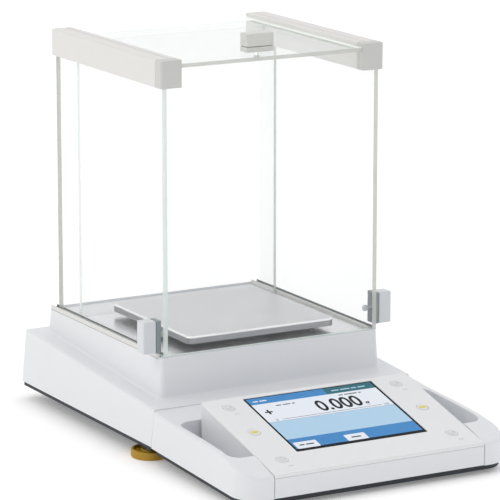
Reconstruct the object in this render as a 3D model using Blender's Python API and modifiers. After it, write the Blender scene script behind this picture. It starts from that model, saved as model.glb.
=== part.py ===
"""Analytical balance with a glass draft shield and a tilting touch display.

Frame: +Z up, the front of the balance faces -Y, and the origin lies on the table
under the middle of the balance. Sizes are written in millimetres times MM.
"""

import math

import bmesh
import bpy
from mathutils import Matrix, Vector

MM = 0.001
GAP = 0.3 * MM                        # clearance between two pieces that meet

# Lower housing: side walls and rear wall lean in towards the top
BASE_HALF_BOTTOM = 124.7 * MM
BASE_HALF_TOP = 121.85 * MM
BASE_FRONT = -45.0 * MM
BASE_REAR_BOTTOM = 201.0 * MM
BASE_REAR_TOP = 198.2 * MM
BASE_BOTTOM = 15.0 * MM
BASE_CORNER = 2.5 * MM
LEDGE_FRONT = 46.2 * MM
LEDGE_REAR = 62.2 * MM
LEDGE_RISE = (LEDGE_REAR - LEDGE_FRONT) / (BASE_REAR_TOP - BASE_FRONT)
WALL = 3.0 * MM
TRAY_THICK = 3.0 * MM
TRAY_INSET = 1.2 * MM
TRAY_TOP = BASE_BOTTOM - GAP
TRAY_BOTTOM = TRAY_TOP - TRAY_THICK

# Upper housing under the weighing chamber
PLINTH_HALF_TOP = 103.2 * MM
PLINTH_DRAFT = 1.8 * MM
PLINTH_FRONT = -23.5 * MM
PLINTH_REAR = 186.0 * MM
PLINTH_TOP = 82.6 * MM
PLINTH_CORNER = 5.0 * MM
DECK = 80.6 * MM                      # recessed deck that carries the floor plate
DECK_THICK = 3.0 * MM
FRONT_RIM = -18.7 * MM                # rear face of the rim under the front pane
REAR_RIM = 184.0 * MM

# Weighing chamber
GLASS = 4.0 * MM
DOOR_CENTRE = 99.9 * MM
DOOR_FRONT = -24.0 * MM
DOOR_REAR = 170.4 * MM
DOOR_BOTTOM = PLINTH_TOP + GAP
GROOVE_HALF = GLASS / 2 + GAP
GUIDE_INNER = 96.6 * MM
GUIDE_TOP = 84.6 * MM
FLOOR_THICK = 1.4 * MM
RAIL_INNER = 84.9 * MM
RAIL_OUTER = 104.6 * MM
RAIL_BOTTOM = 306.4 * MM
RAIL_TOP = 329.2 * MM
RAIL_REAR = 172.3 * MM
CAP_FRONT = -28.3 * MM
CAP_REAR = -17.9 * MM
CAP_CORNER = 2.5 * MM
DOOR_GROOVE_TOP = 312.5 * MM
COVER_BOTTOM = 322.3 * MM
COVER_TOP = 325.5 * MM
COVER_HALF = 90.2 * MM
COVER_FRONT = -26.0 * MM
COVER_REAR = 171.7 * MM
FRONT_PANE = (-23.3 * MM, -19.3 * MM)
REAR_PANE = (137.6 * MM, 141.6 * MM)

# Handles: a block on a spacer, held by a thumb screw through the glass
SPACER = 4.2 * MM
HANDLE_DEPTH = 12.0 * MM              # along the travel of the door
DOOR_HANDLE_OUT = 118.5 * MM
DOOR_HANDLE_Y = -15.0 * MM
DOOR_HANDLE_Z = (86.5 * MM, 113.5 * MM)
COVER_HANDLE_HALF = 12.8 * MM
COVER_HANDLE_Y = 1.0 * MM
COVER_HANDLE_TOP = 341.4 * MM
SCREW_RADIUS = 1.5 * MM
SCREW_HEAD_RADIUS = 2.6 * MM
SCREW_HEAD_HEIGHT = 3.6 * MM
SCREW_REACH = 14.5 * MM               # from the glass's inner face into the block

# Weighing pan
PAN_CENTRE = Vector((0.0, 61.6 * MM))
PAN_HALF = 70.0 * MM
PAN_TOP = 92.8 * MM
PAN_BOTTOM = 86.6 * MM
PAN_SHEET = 1.5 * MM
PAN_CORNER = 5.0 * MM
RECEPTOR_TOP = 84.2 * MM
RECEPTOR_HOLE = 14.0 * MM

# Carrier of the control unit: a tray with an arm on each side
CARRIER_REAR = BASE_FRONT - GAP
CARRIER_FRONT = -201.0 * MM
CARRIER_TOP = (                       # (y, top) along an arm, from the seam forwards
    (CARRIER_REAR, 45.4 * MM),
    (-50.6 * MM, 44.0 * MM),
    (-81.7 * MM, 41.6 * MM),
    (-124.0 * MM, 39.6 * MM),
    (-152.0 * MM, 37.6 * MM),
    (-175.0 * MM, 34.0 * MM),
    (CARRIER_FRONT, 26.0 * MM),
)
CARRIER_BOTTOM_REAR = 14.4 * MM
CARRIER_BOTTOM_FRONT = 7.8 * MM
CARRIER_FLOOR = 2.5 * MM
CARRIER_CORNER = 22.0 * MM
CARRIER_DRAFT = 0.09                  # lean of the arms' outer sides
CARRIER_TRAY_THICK = 4.3 * MM
CARRIER_TRAY_INSET = 2.8 * MM
BAY_HALF = 97.7 * MM
BAY_REAR = -77.8 * MM
BAY_FLOOR_END = -186.5 * MM
POCKET_OUTER = 117.0 * MM
POCKET_REAR = -75.6 * MM
POCKET_FRONT = -167.5 * MM
POCKET_CORNER = 10.0 * MM

# Display wedge
DISPLAY_HALF = 97.4 * MM
DISPLAY_REAR = -78.1 * MM
DISPLAY_TOP_REAR = 57.7 * MM
DISPLAY_TOP_FRONT = 27.4 * MM
DISPLAY_BOTTOM = 8.2 * MM
DISPLAY_WALL = 2.5 * MM
DISPLAY_FRONT_WALL = 9.0 * MM
DISPLAY_LIP = 13.3 * MM               # front part that reaches below the bay's floor
BEZEL_THICK = 2.9 * MM
TILT = math.atan2(DISPLAY_TOP_REAR - DISPLAY_TOP_FRONT, DISPLAY_REAR - CARRIER_FRONT)
SCREEN_HALF = 61.0 * MM
SCREEN_SPAN = (5.5 * MM, 97.5 * MM)   # down the slope from the rear top edge
SCREEN_THICK = 7.1 * MM
HINGE = Vector((0.0, -198.0 * MM, 11.2 * MM))
HINGE_PIN_RADIUS = 1.5 * MM
KEY_RADIUS = 5.0 * MM
KEY_X = 79.0 * MM
KEY_ROWS = (("top", 16.0 * MM), ("middle", 59.0 * MM), ("bottom", 105.0 * MM))
KEY_HEIGHT = 5.3 * MM
KEY_PROUD = 0.3 * MM

# Feet
LEVEL_FOOT = Vector((112.0 * MM, -20.0 * MM))
LEVEL_WHEEL_RADIUS = 16.5 * MM
LEVEL_WHEEL_HEIGHT = 7.0 * MM
LEVEL_STEM_RADIUS = 4.5 * MM
LEVEL_STEM_TOP = 32.0 * MM
LEVEL_BOSS_RADIUS = 8.0 * MM
LEVEL_BOSS_TOP = 24.0 * MM
REAR_FOOT = Vector((95.0 * MM, 170.0 * MM))
REAR_FOOT_RADIUS = 11.0 * MM
FRONT_PAD = Vector((88.0 * MM, -178.0 * MM))
FRONT_PAD_RADIUS = 8.0 * MM
FRONT_PAD_TOP = 3.5 * MM

# Spirit level in the right-hand ledge
LEVEL_VIAL = Vector((112.4 * MM, 170.0 * MM))
LEVEL_CUP_RADIUS = 6.2 * MM
LEVEL_VIAL_RADIUS = 4.7 * MM
LEVEL_CUP_TOP = 61.2 * MM
LEVEL_CUP_BOTTOM = 50.0 * MM

# Weighing electronics
CELL_HALF = 32.0 * MM
CELL_Y = (20.0 * MM, 150.0 * MM)
CELL_TOP = 60.0 * MM
MAGNET = Vector((0.0, 172.0 * MM))
MAGNET_RADIUS = 18.0 * MM
BOARD_X = (-110.0 * MM, -45.0 * MM)
BOARD_Y = (25.0 * MM, 160.0 * MM)
BOARD_Z = 30.0 * MM
BOARD_THICK = 1.6 * MM
STANDOFF_RADIUS = 3.0 * MM
CAL_WEIGHT_RADIUS = 9.0 * MM
CAL_WEIGHT_X = (-30.0 * MM, 30.0 * MM)
CAL_MOTOR_RADIUS = 11.0 * MM
CAL_MOTOR_X = (45.0 * MM, 78.0 * MM)
CAL_Y = -12.0 * MM
PANEL_HALF = 70.0 * MM
PANEL_Z = (20.0 * MM, 48.0 * MM)
PANEL_Y = (193.2 * MM, 195.2 * MM)
POWER_SOCKET = (-45.0 * MM, 34.0 * MM)
DATA_PORT = (40.0 * MM, 34.0 * MM)
CABLE_SLOT = ((-12.0 * MM, 12.0 * MM), (22.0 * MM, 34.0 * MM))

ROUND = 32                            # sides of a round piece


# --------------------------------------------------------------------------
# Helpers
# --------------------------------------------------------------------------

def ledge(y):
    """Height of the lower housing's sloping top at y."""
    return LEDGE_FRONT + LEDGE_RISE * (y - BASE_FRONT)


def carrier_bottom(y):
    """Height of the carrier's sloping underside at y."""
    share = (y - CARRIER_REAR) / (CARRIER_FRONT - CARRIER_REAR)
    return CARRIER_BOTTOM_REAR + share * (CARRIER_BOTTOM_FRONT - CARRIER_BOTTOM_REAR)


def carrier_top(y):
    """Height of an arm's top at y, straight between the stations."""
    for (y0, z0), (y1, z1) in zip(CARRIER_TOP, CARRIER_TOP[1:]):
        if y >= y1:
            return z0 + (y - y0) / (y1 - y0) * (z1 - z0)
    return CARRIER_TOP[-1][1]


def slope_top(y):
    """Height of the display's sloping face at y."""
    return DISPLAY_TOP_REAR + (y - DISPLAY_REAR) * math.tan(TILT)


def clear_scene():
    """Remove every object that the file starts with."""
    for obj in list(bpy.data.objects):
        bpy.data.objects.remove(obj, do_unlink=True)


def new_collection(name):
    """Add a collection under the scene's own."""
    collection = bpy.data.collections.new(name)
    bpy.context.scene.collection.children.link(collection)
    return collection


def material(name, colour, roughness, metallic=0.0, alpha=1.0):
    """Principled material from an RGB colour."""
    mat = bpy.data.materials.new(name)
    mat.use_nodes = True
    shader = mat.node_tree.nodes["Principled BSDF"]
    shader.inputs["Base Color"].default_value = (*colour, 1.0)
    shader.inputs["Roughness"].default_value = roughness
    shader.inputs["Metallic"].default_value = metallic
    shader.inputs["Alpha"].default_value = alpha
    mat.diffuse_color = (*colour, alpha)
    return mat


def block(x, y, z):
    """A cube stretched to the ranges x, y and z."""
    bm = bmesh.new()
    bmesh.ops.create_cube(bm, size=2.0)
    for vert in bm.verts:
        vert.co = Vector((x[vert.co.x > 0], y[vert.co.y > 0], z[vert.co.z > 0]))
    return bm


def sloped_block(x, stations, bottom, top):
    """A block whose underside and top follow two heights along y.

    stations are the y values where the heights may change direction.
    """
    ys = sorted(stations)
    bm = block(x, (ys[0], ys[-1]), (0.0, 1.0))
    for y in ys[1:-1]:
        everything = bm.verts[:] + bm.edges[:] + bm.faces[:]
        bmesh.ops.bisect_plane(bm, geom=everything, plane_co=(0, y, 0), plane_no=(0, 1, 0))
    for vert in bm.verts:
        vert.co.z = top(vert.co.y) if vert.co.z > 0.5 else bottom(vert.co.y)
    return bm


def cylinder(centre, radius, z, sides=ROUND):
    """An upright cylinder over the range z."""
    bm = bmesh.new()
    bmesh.ops.create_cone(
        bm, cap_ends=True, segments=sides, radius1=radius, radius2=radius, depth=z[1] - z[0]
    )
    move = Vector((centre[0], centre[1], (z[0] + z[1]) / 2))
    bmesh.ops.translate(bm, vec=move, verts=bm.verts)
    return bm


def cross_cylinder(y, z, radius, x, sides=ROUND):
    """A cylinder along X over the range x."""
    bm = cylinder((0, 0), radius, x, sides)
    bmesh.ops.rotate(bm, matrix=Matrix.Rotation(math.pi / 2, 3, "Y"), verts=bm.verts)
    bmesh.ops.translate(bm, vec=(0, y, z), verts=bm.verts)
    return bm


def round_edges(bm, chosen, width, segments=2):
    """Bevel the edges for which chosen(low end, high end) is true."""
    picked = []
    for edge in bm.edges:
        ends = sorted((vert.co.copy() for vert in edge.verts), key=lambda co: co.z)
        if chosen(*ends):
            picked.append(edge)
    bmesh.ops.bevel(
        bm, geom=picked, offset=width, offset_type="OFFSET", affect="EDGES",
        segments=segments, profile=0.5, material=-1, clamp_overlap=True,
    )
    return bm


def upright(low, high):
    """True for an edge that runs up and down."""
    return high.z - low.z > 0.5 * (high - low).length


def place(name, bm, mat, collection, parent=None, matrix=None):
    """Make a named object from a bmesh, in the collection and under its parent."""
    bmesh.ops.recalc_face_normals(bm, faces=bm.faces)
    mesh = bpy.data.meshes.new(name)
    bm.to_mesh(mesh)
    bm.free()
    mesh.shade_smooth()
    mesh.set_sharp_from_angle(angle=math.radians(35))
    obj = bpy.data.objects.new(name, mesh)
    collection.objects.link(obj)
    if mat is not None:
        mesh.materials.append(mat)
    if matrix is not None:
        obj.matrix_world = matrix
    if parent is not None:
        obj.parent = parent
        obj.matrix_parent_inverse = Matrix.Translation(parent.location).inverted()
    return obj


def soften(obj, width, segments=2):
    """Round every sharp edge with a Bevel modifier."""
    bevel = obj.modifiers.new("edges", "BEVEL")
    bevel.width = width
    bevel.segments = segments
    bevel.limit_method = "ANGLE"
    bevel.angle_limit = math.radians(40)
    return obj


class Balance:
    """The collections, materials and joint empties that the pieces share."""

    def __init__(self):
        self.parts = new_collection("analytical_balance")
        self.cutters = new_collection("cutters")
        self.housing = material("housing_plastic", (0.80, 0.80, 0.80), 0.42)
        self.light_grey = material("light_grey_plastic", (0.74, 0.73, 0.70), 0.45)
        self.dark = material("dark_plastic", (0.03, 0.04, 0.05), 0.55)
        self.glass = material("float_glass", (0.80, 0.90, 0.87), 0.02, alpha=0.3)
        self.aluminium = material("satin_aluminium", (0.68, 0.70, 0.72), 0.35, 0.9)
        self.steel = material("brushed_steel", (0.62, 0.62, 0.63), 0.28, 1.0)
        self.screen = material("display_glass", (0.05, 0.22, 0.50), 0.12)
        self.yellow = material("yellow_plastic", (0.60, 0.38, 0.02), 0.40)
        self.brass = material("brass", (0.72, 0.55, 0.25), 0.30, 1.0)
        self.board = material("circuit_board", (0.02, 0.20, 0.07), 0.50)
        self.rubber = material("rubber", (0.03, 0.03, 0.03), 0.85)
        self.joints = {}

    def empty(self, name, location):
        """An empty on a joint's axis, the parent of the pieces that it moves."""
        obj = bpy.data.objects.new(name, None)
        obj.empty_display_size = 20 * MM
        obj.location = location
        self.parts.objects.link(obj)
        self.joints[name] = obj
        return obj

    def piece(self, name, bm, mat, parent=None, matrix=None):
        """A piece of the balance."""
        return place(name, bm, mat, self.parts, parent, matrix)

    def boolean(self, obj, bm, operation="DIFFERENCE", matrix=None):
        """Cut a shape out of a piece, or join it on."""
        count = len([m for m in obj.modifiers if m.type == "BOOLEAN"])
        cutter = place(f"{obj.name}_cutter_{count}", bm, None, self.cutters, None, matrix)
        cutter.hide_render = True
        cutter.display_type = "WIRE"
        modifier = obj.modifiers.new(f"cut_{count}", "BOOLEAN")
        modifier.operation = operation
        modifier.solver = "EXACT"
        modifier.object = cutter
        return obj

    def turned(self, name, profile, mat, matrix, parent=None, steps=ROUND):
        """A turned piece from (radius, height) points, down its outer side."""
        mesh = bpy.data.meshes.new(name)
        points = [(radius, 0.0, height) for radius, height in profile]
        mesh.from_pydata(points, [(i, i + 1) for i in range(len(points) - 1)], [])
        mesh.materials.append(mat)
        obj = bpy.data.objects.new(name, mesh)
        self.parts.objects.link(obj)
        obj.matrix_world = matrix
        if parent is not None:
            obj.parent = parent
            obj.matrix_parent_inverse = Matrix.Translation(parent.location).inverted()
        screw = obj.modifiers.new("turn", "SCREW")
        screw.steps = steps
        screw.render_steps = steps
        screw.use_merge_vertices = True
        screw.merge_threshold = 0.00001
        return obj


# --------------------------------------------------------------------------
# Housing
# --------------------------------------------------------------------------

def housing_block(inset, bottom):
    """The lower housing's outer form, or its hollow when inset by a wall."""
    ys = (BASE_FRONT + inset, BASE_REAR_BOTTOM - inset)
    half = BASE_HALF_BOTTOM - inset
    bm = sloped_block((-half, half), ys, lambda y: bottom, lambda y: ledge(y) - inset)
    for vert in bm.verts:
        if vert.co.z > bottom + MM:
            vert.co.x = math.copysign(BASE_HALF_TOP - inset, vert.co.x)
            if vert.co.y > 0:
                vert.co.y = BASE_REAR_TOP - inset
                vert.co.z = ledge(BASE_REAR_TOP) - inset
    return bm


def make_base_shell(b):
    """Lower housing: an open-bottomed shell with a sloping ledge."""
    bm = housing_block(0.0, BASE_BOTTOM)
    round_edges(bm, lambda lo, hi: upright(lo, hi) and lo.y > 0, BASE_CORNER, 3)
    round_edges(bm, lambda lo, hi: lo.z > LEDGE_FRONT - MM and max(lo.y, hi.y) > 0, 1.5 * MM)
    shell = b.piece("base_shell", bm, b.housing)
    b.boolean(shell, housing_block(WALL, BASE_BOTTOM - 2 * MM))
    well = block((-85 * MM, 85 * MM), (-8 * MM, 170 * MM), (35 * MM, 75 * MM))
    b.boolean(shell, well)
    b.boolean(shell, cylinder(LEVEL_VIAL, LEVEL_CUP_RADIUS + GAP, (40 * MM, 75 * MM)))
    window = block((-PANEL_HALF, PANEL_HALF), (190 * MM, 210 * MM), PANEL_Z)
    b.boolean(shell, window)
    slot_x, slot_z = CABLE_SLOT
    b.boolean(shell, block(slot_x, (-50 * MM, -40 * MM), slot_z))
    return shell


def make_bottom_tray(b):
    """Dark tray that closes the lower housing and carries what is inside it."""
    half = BASE_HALF_BOTTOM - TRAY_INSET
    rear = BASE_REAR_BOTTOM - TRAY_INSET
    bm = block((-half, half), (BASE_FRONT + 2.5 * MM, rear), (TRAY_BOTTOM, TRAY_TOP))
    round_edges(bm, lambda lo, hi: upright(lo, hi) and lo.y > 0, BASE_CORNER, 3)
    tray = b.piece("bottom_tray", bm, b.dark)
    below = TRAY_TOP - 1 * MM
    for side in (-1, 1):
        at = (side * LEVEL_FOOT.x, LEVEL_FOOT.y)
        b.boolean(tray, cylinder(at, LEVEL_BOSS_RADIUS, (below, LEVEL_BOSS_TOP)), "UNION")
        b.boolean(tray, cylinder(at, LEVEL_STEM_RADIUS + 2 * GAP, (0.0, 40 * MM)))
    inset = 6 * MM
    for x in (BOARD_X[0] + inset, BOARD_X[1] - inset):
        for y in (BOARD_Y[0] + inset, BOARD_Y[1] - inset):
            post = cylinder((x, y), STANDOFF_RADIUS, (below, BOARD_Z - GAP), 12)
            b.boolean(tray, post, "UNION")
    return tray


def plinth_block(inset, bottom, top):
    """The upper housing's form between two heights, inset by a wall."""
    ys = (PLINTH_FRONT - PLINTH_DRAFT + inset, PLINTH_REAR + PLINTH_DRAFT - inset)
    half = PLINTH_HALF_TOP + PLINTH_DRAFT - inset
    bm = sloped_block((-half, half), ys, bottom, lambda y: top)
    for vert in bm.verts:
        if vert.co.z > top - MM:
            vert.co.x -= math.copysign(PLINTH_DRAFT, vert.co.x)
            vert.co.y -= math.copysign(PLINTH_DRAFT, vert.co.y)
    return bm


def make_plinth_cover(b):
    """Upper housing: a shell that stands on the ledge and carries the chamber."""
    bm = plinth_block(0.0, lambda y: ledge(y) + GAP, PLINTH_TOP)
    round_edges(bm, upright, PLINTH_CORNER, 3)
    cover = b.piece("plinth_cover", bm, b.housing)
    b.boolean(cover, plinth_block(WALL, lambda y: ledge(y) - 4 * MM, DECK - DECK_THICK))
    wide = PLINTH_HALF_TOP + 5 * MM
    recess = block((-wide, wide), (FRONT_RIM, REAR_RIM), (DECK, PLINTH_TOP + 5 * MM))
    b.boolean(cover, recess)
    b.boolean(cover, cylinder(PAN_CENTRE, RECEPTOR_HOLE, (70 * MM, 90 * MM)))
    return cover


def make_rear_panel(b):
    """Recessed connector panel in the rear wall, with its power and data sockets."""
    half = PANEL_HALF + 4 * MM
    low, high = PANEL_Z[0] - 2 * MM, PANEL_Z[1] + 2 * MM
    panel = b.piece("rear_panel", block((-half, half), PANEL_Y, (low, high)), b.dark)
    x, z = POWER_SOCKET
    radius = 5.0 * MM
    quarter = Matrix.Rotation(math.pi / 2, 4, "X")
    through = cylinder((0, 0), radius + GAP, (-10 * MM, 10 * MM))
    b.boolean(panel, through, matrix=Matrix.Translation((x, PANEL_Y[1], z)) @ quarter)
    outer = 9.0 * MM
    depth = 12.0 * MM
    socket = [
        (0.0, 1.0 * MM), (1.0 * MM, 1.0 * MM), (1.0 * MM, -8.0 * MM),
        (3.4 * MM, -8.0 * MM), (3.4 * MM, 1.0 * MM), (radius, 1.0 * MM),
        (radius, -2.0 * MM - GAP), (outer, -2.0 * MM - GAP), (outer, -depth),
        (0.0, -depth),
    ]
    aim = Matrix.Translation((x, PANEL_Y[1], z)) @ Matrix.Rotation(-math.pi / 2, 4, "X")
    b.turned("power_socket", socket, b.steel, aim)
    x, z = DATA_PORT
    port_half, port_high = 7.0 * MM, 4.0 * MM
    hole = block((x - port_half - GAP, x + port_half + GAP), (180 * MM, 205 * MM),
                 (z - port_high - GAP, z + port_high + GAP))
    b.boolean(panel, hole)
    bm = block((x - port_half, x + port_half), (182 * MM, PANEL_Y[1] + 0.8 * MM),
               (z - port_high, z + port_high))
    port = b.piece("data_port", bm, b.steel)
    wall = 0.8 * MM
    b.boolean(port, block((x - port_half + wall, x + port_half - wall), (184 * MM, 205 * MM),
                          (z - port_high + wall, z + port_high - wall)))
    return panel


def make_feet(b):
    """Rear rubber feet, front pads and the two levelling feet."""
    for name, side in (("left", -1), ("right", 1)):
        at = Matrix.Translation((side * REAR_FOOT.x, REAR_FOOT.y, 0.0))
        top = TRAY_BOTTOM - GAP
        radius = REAR_FOOT_RADIUS
        profile = [
            (0.0, top), (radius - 1 * MM, top), (radius, top - 1 * MM),
            (radius - 1.5 * MM, 1 * MM), (radius - 2.5 * MM, 0.0), (0.0, 0.0),
        ]
        b.turned(f"rear_{name}_foot", profile, b.rubber, at)
        at = Matrix.Translation((side * FRONT_PAD.x, FRONT_PAD.y, 0.0))
        radius = FRONT_PAD_RADIUS
        profile = [
            (0.0, FRONT_PAD_TOP), (radius, FRONT_PAD_TOP), (radius, 0.8 * MM),
            (radius - 0.8 * MM, 0.0), (0.0, 0.0),
        ]
        b.turned(f"front_{name}_pad", profile, b.rubber, at)
        foot = (side * LEVEL_FOOT.x, LEVEL_FOOT.y)
        axis = b.empty(f"{name}_level_axis", (*foot, 0.0))
        radius = LEVEL_WHEEL_RADIUS
        bore = LEVEL_STEM_RADIUS + GAP
        height = LEVEL_WHEEL_HEIGHT
        profile = [
            (bore, height), (radius - 1.2 * MM, height), (radius, height - 1.2 * MM),
            (radius, 1.2 * MM), (radius - 1.2 * MM, 0.0), (bore, 0.0), (bore, height),
        ]
        at = Matrix.Translation((*foot, 0.0))
        b.turned(f"{name}_level_wheel", profile, b.yellow, at, axis, 40)
        radius = LEVEL_STEM_RADIUS
        top = LEVEL_STEM_TOP
        profile = [(0.0, top), (radius - 1 * MM, top), (radius, top - 1 * MM),
                   (radius, 1 * MM), (0.0, 1 * MM)]
        b.turned(f"{name}_level_stem", profile, b.steel, at, axis, 20)


def make_spirit_level(b):
    """Round spirit level, let into the right-hand ledge."""
    radius = LEVEL_CUP_RADIUS
    bore = LEVEL_VIAL_RADIUS + GAP
    seat = LEVEL_CUP_BOTTOM + 4 * MM
    profile = [
        (0.0, seat), (bore, seat), (bore, LEVEL_CUP_TOP), (radius, LEVEL_CUP_TOP),
        (radius, LEVEL_CUP_BOTTOM), (0.0, LEVEL_CUP_BOTTOM),
    ]
    at = Matrix.Translation((LEVEL_VIAL.x, LEVEL_VIAL.y, 0.0))
    b.turned("level_housing", profile, b.dark, at, steps=24)
    vial = cylinder(LEVEL_VIAL, LEVEL_VIAL_RADIUS, (seat + GAP, LEVEL_CUP_TOP - GAP), 24)
    b.piece("level_vial", vial, b.yellow)


# --------------------------------------------------------------------------
# Weighing system
# --------------------------------------------------------------------------

def make_weighing_system(b):
    """Load cell block, coil magnet, receptor, calibration weight and motor, board."""
    x = (-CELL_HALF, CELL_HALF)
    floor = TRAY_TOP + GAP
    cell = b.piece("weigh_cell_frame", block(x, CELL_Y, (floor, CELL_TOP)), b.aluminium)
    wide = (-CELL_HALF - 5 * MM, CELL_HALF + 5 * MM)
    slot_y = (CELL_Y[0] + 14 * MM, CELL_Y[1] - 14 * MM)
    for z in (floor + 8 * MM, CELL_TOP - 11 * MM):
        b.boolean(cell, block(wide, slot_y, (z, z + 3 * MM)))
    magnet = cylinder(MAGNET, MAGNET_RADIUS, (floor, 46 * MM))
    b.piece("coil_magnet", magnet, b.steel)
    profile = [
        (0.0, RECEPTOR_TOP), (4 * MM, RECEPTOR_TOP), (6 * MM, RECEPTOR_TOP - 6 * MM),
        (6 * MM, CELL_TOP + 6 * MM), (12 * MM, CELL_TOP + 6 * MM),
        (12 * MM, CELL_TOP + GAP), (0.0, CELL_TOP + GAP),
    ]
    at = Matrix.Translation((PAN_CENTRE.x, PAN_CENTRE.y, 0.0))
    b.turned("load_receptor", profile, b.steel, at)
    lift = b.empty("calibration_lift", (0.0, CAL_Y, floor + CAL_WEIGHT_RADIUS))
    bm = cross_cylinder(CAL_Y, floor + CAL_WEIGHT_RADIUS, CAL_WEIGHT_RADIUS, CAL_WEIGHT_X)
    b.piece("calibration_weight", bm, b.brass, lift)
    bm = cross_cylinder(CAL_Y, floor + CAL_MOTOR_RADIUS, CAL_MOTOR_RADIUS, CAL_MOTOR_X)
    b.piece("calibration_motor", bm, b.dark)
    b.piece("main_board", block(BOARD_X, BOARD_Y, (BOARD_Z, BOARD_Z + BOARD_THICK)), b.board)


def make_pan(b):
    """Weighing pan with a turned-down rim, and the support under it."""
    lift = b.empty("pan_lift", (PAN_CENTRE.x, PAN_CENTRE.y, PAN_BOTTOM))

    def pan_block(inset, z):
        half = PAN_HALF - inset
        x = (PAN_CENTRE.x - half, PAN_CENTRE.x + half)
        y = (PAN_CENTRE.y - half, PAN_CENTRE.y + half)
        bm = block(x, y, z)
        return round_edges(bm, upright, PAN_CORNER - inset, 4)

    bm = pan_block(0.0, (PAN_BOTTOM, PAN_TOP))
    round_edges(bm, lambda lo, hi: lo.z > PAN_TOP - 0.1 * MM, 1.6 * MM, 3)
    pan = b.piece("weighing_pan", bm, b.steel, lift)
    b.boolean(pan, pan_block(PAN_SHEET, (PAN_BOTTOM - 2 * MM, PAN_TOP - PAN_SHEET)))
    top = PAN_TOP - PAN_SHEET - GAP
    foot = RECEPTOR_TOP + GAP
    profile = [
        (0.0, top), (40 * MM, top), (40 * MM, top - 1.5 * MM), (14 * MM, top - 1.5 * MM),
        (12 * MM, foot), (0.0, foot),
    ]
    at = Matrix.Translation((PAN_CENTRE.x, PAN_CENTRE.y, 0.0))
    b.turned("pan_support", profile, b.aluminium, at, lift, 40)


# --------------------------------------------------------------------------
# Draft shield
# --------------------------------------------------------------------------

def side_range(side, inner, outer):
    """An x range on the left (-1) or right (+1), low value first."""
    return tuple(sorted((side * inner, side * outer)))


def make_chamber_floor(b):
    """Metal floor plate with a hole for the load receptor."""
    half = GUIDE_INNER - GAP
    y = (FRONT_RIM + GAP, REAR_PANE[0] - GAP)
    bottom = DECK + GAP
    plate = b.piece("chamber_floor", block((-half, half), y, (bottom, bottom + FLOOR_THICK)),
                    b.steel)
    b.boolean(plate, cylinder(PAN_CENTRE, RECEPTOR_HOLE, (70 * MM, 90 * MM)))


def make_guides_and_rails(b):
    """Lower door guides, top rails and the rails' front caps."""
    groove = (DOOR_CENTRE - GROOVE_HALF, DOOR_CENTRE + GROOVE_HALF)
    for name, side in (("left", -1), ("right", 1)):
        slot = side_range(side, *groove)
        bm = block(side_range(side, GUIDE_INNER, PLINTH_HALF_TOP),
                   (FRONT_RIM + GAP, REAR_RIM - GAP), (DECK + GAP, GUIDE_TOP))
        guide = b.piece(f"{name}_door_guide", bm, b.light_grey)
        b.boolean(guide, block(slot, (-50 * MM, 200 * MM), (PLINTH_TOP, 90 * MM)))

        section = side_range(side, RAIL_INNER, RAIL_OUTER)
        cover_slot = side_range(side, RAIL_INNER - 5 * MM, COVER_HALF + GAP)
        cover_z = (COVER_BOTTOM - GAP, COVER_TOP + GAP)
        bm = block(section, (CAP_REAR + GAP, RAIL_REAR), (RAIL_BOTTOM, RAIL_TOP))
        round_edges(bm, lambda lo, hi: lo.z > RAIL_TOP - MM and hi.y - lo.y > 0.1, 1.2 * MM)
        rail = b.piece(f"{name}_rail", bm, b.light_grey)
        reach = (-60 * MM, 200 * MM)
        b.boolean(rail, block(slot, reach, (RAIL_BOTTOM - 5 * MM, DOOR_GROOVE_TOP)))
        b.boolean(rail, block(cover_slot, reach, cover_z))

        bm = block(section, (CAP_FRONT, CAP_REAR), (RAIL_BOTTOM, RAIL_TOP))
        round_edges(bm, lambda lo, hi: upright(lo, hi) and lo.y < CAP_REAR - MM, CAP_CORNER,
                    3)
        round_edges(bm, lambda lo, hi: lo.z > RAIL_TOP - MM and min(lo.y, hi.y) < CAP_REAR - MM,
                    1.0 * MM)
        cap = b.piece(f"{name}_rail_cap", bm, b.light_grey)
        b.boolean(cap, block(slot, (DOOR_FRONT - 0.4 * MM, 0.0),
                             (RAIL_BOTTOM - 5 * MM, DOOR_GROOVE_TOP)))
        b.boolean(cap, block(cover_slot, (COVER_FRONT - 0.4 * MM, 0.0), cover_z))


def make_pane(b, name, half, y, bottom):
    """A fixed pane that is notched round the rails."""
    top = COVER_BOTTOM - GAP
    pane = b.piece(name, block((-half, half), y, (bottom, top)), b.glass)
    for side in (-1, 1):
        notch = block(side_range(side, RAIL_INNER - GAP, 120 * MM), (y[0] - MM, y[1] + MM),
                      (RAIL_BOTTOM - GAP, top + 5 * MM))
        b.boolean(pane, notch)
    return pane


def thumb_screw(b, name, aim, parent):
    """Thumb screw whose head lies under z = 0 of its own frame."""
    profile = [
        (0.0, SCREW_REACH), (SCREW_RADIUS, SCREW_REACH), (SCREW_RADIUS, -GAP),
        (SCREW_HEAD_RADIUS, -GAP), (SCREW_HEAD_RADIUS, 0.8 * MM - SCREW_HEAD_HEIGHT),
        (SCREW_HEAD_RADIUS - 0.8 * MM, -SCREW_HEAD_HEIGHT), (0.0, -SCREW_HEAD_HEIGHT),
    ]
    return b.turned(name, profile, b.light_grey, aim, parent, 24)


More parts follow.
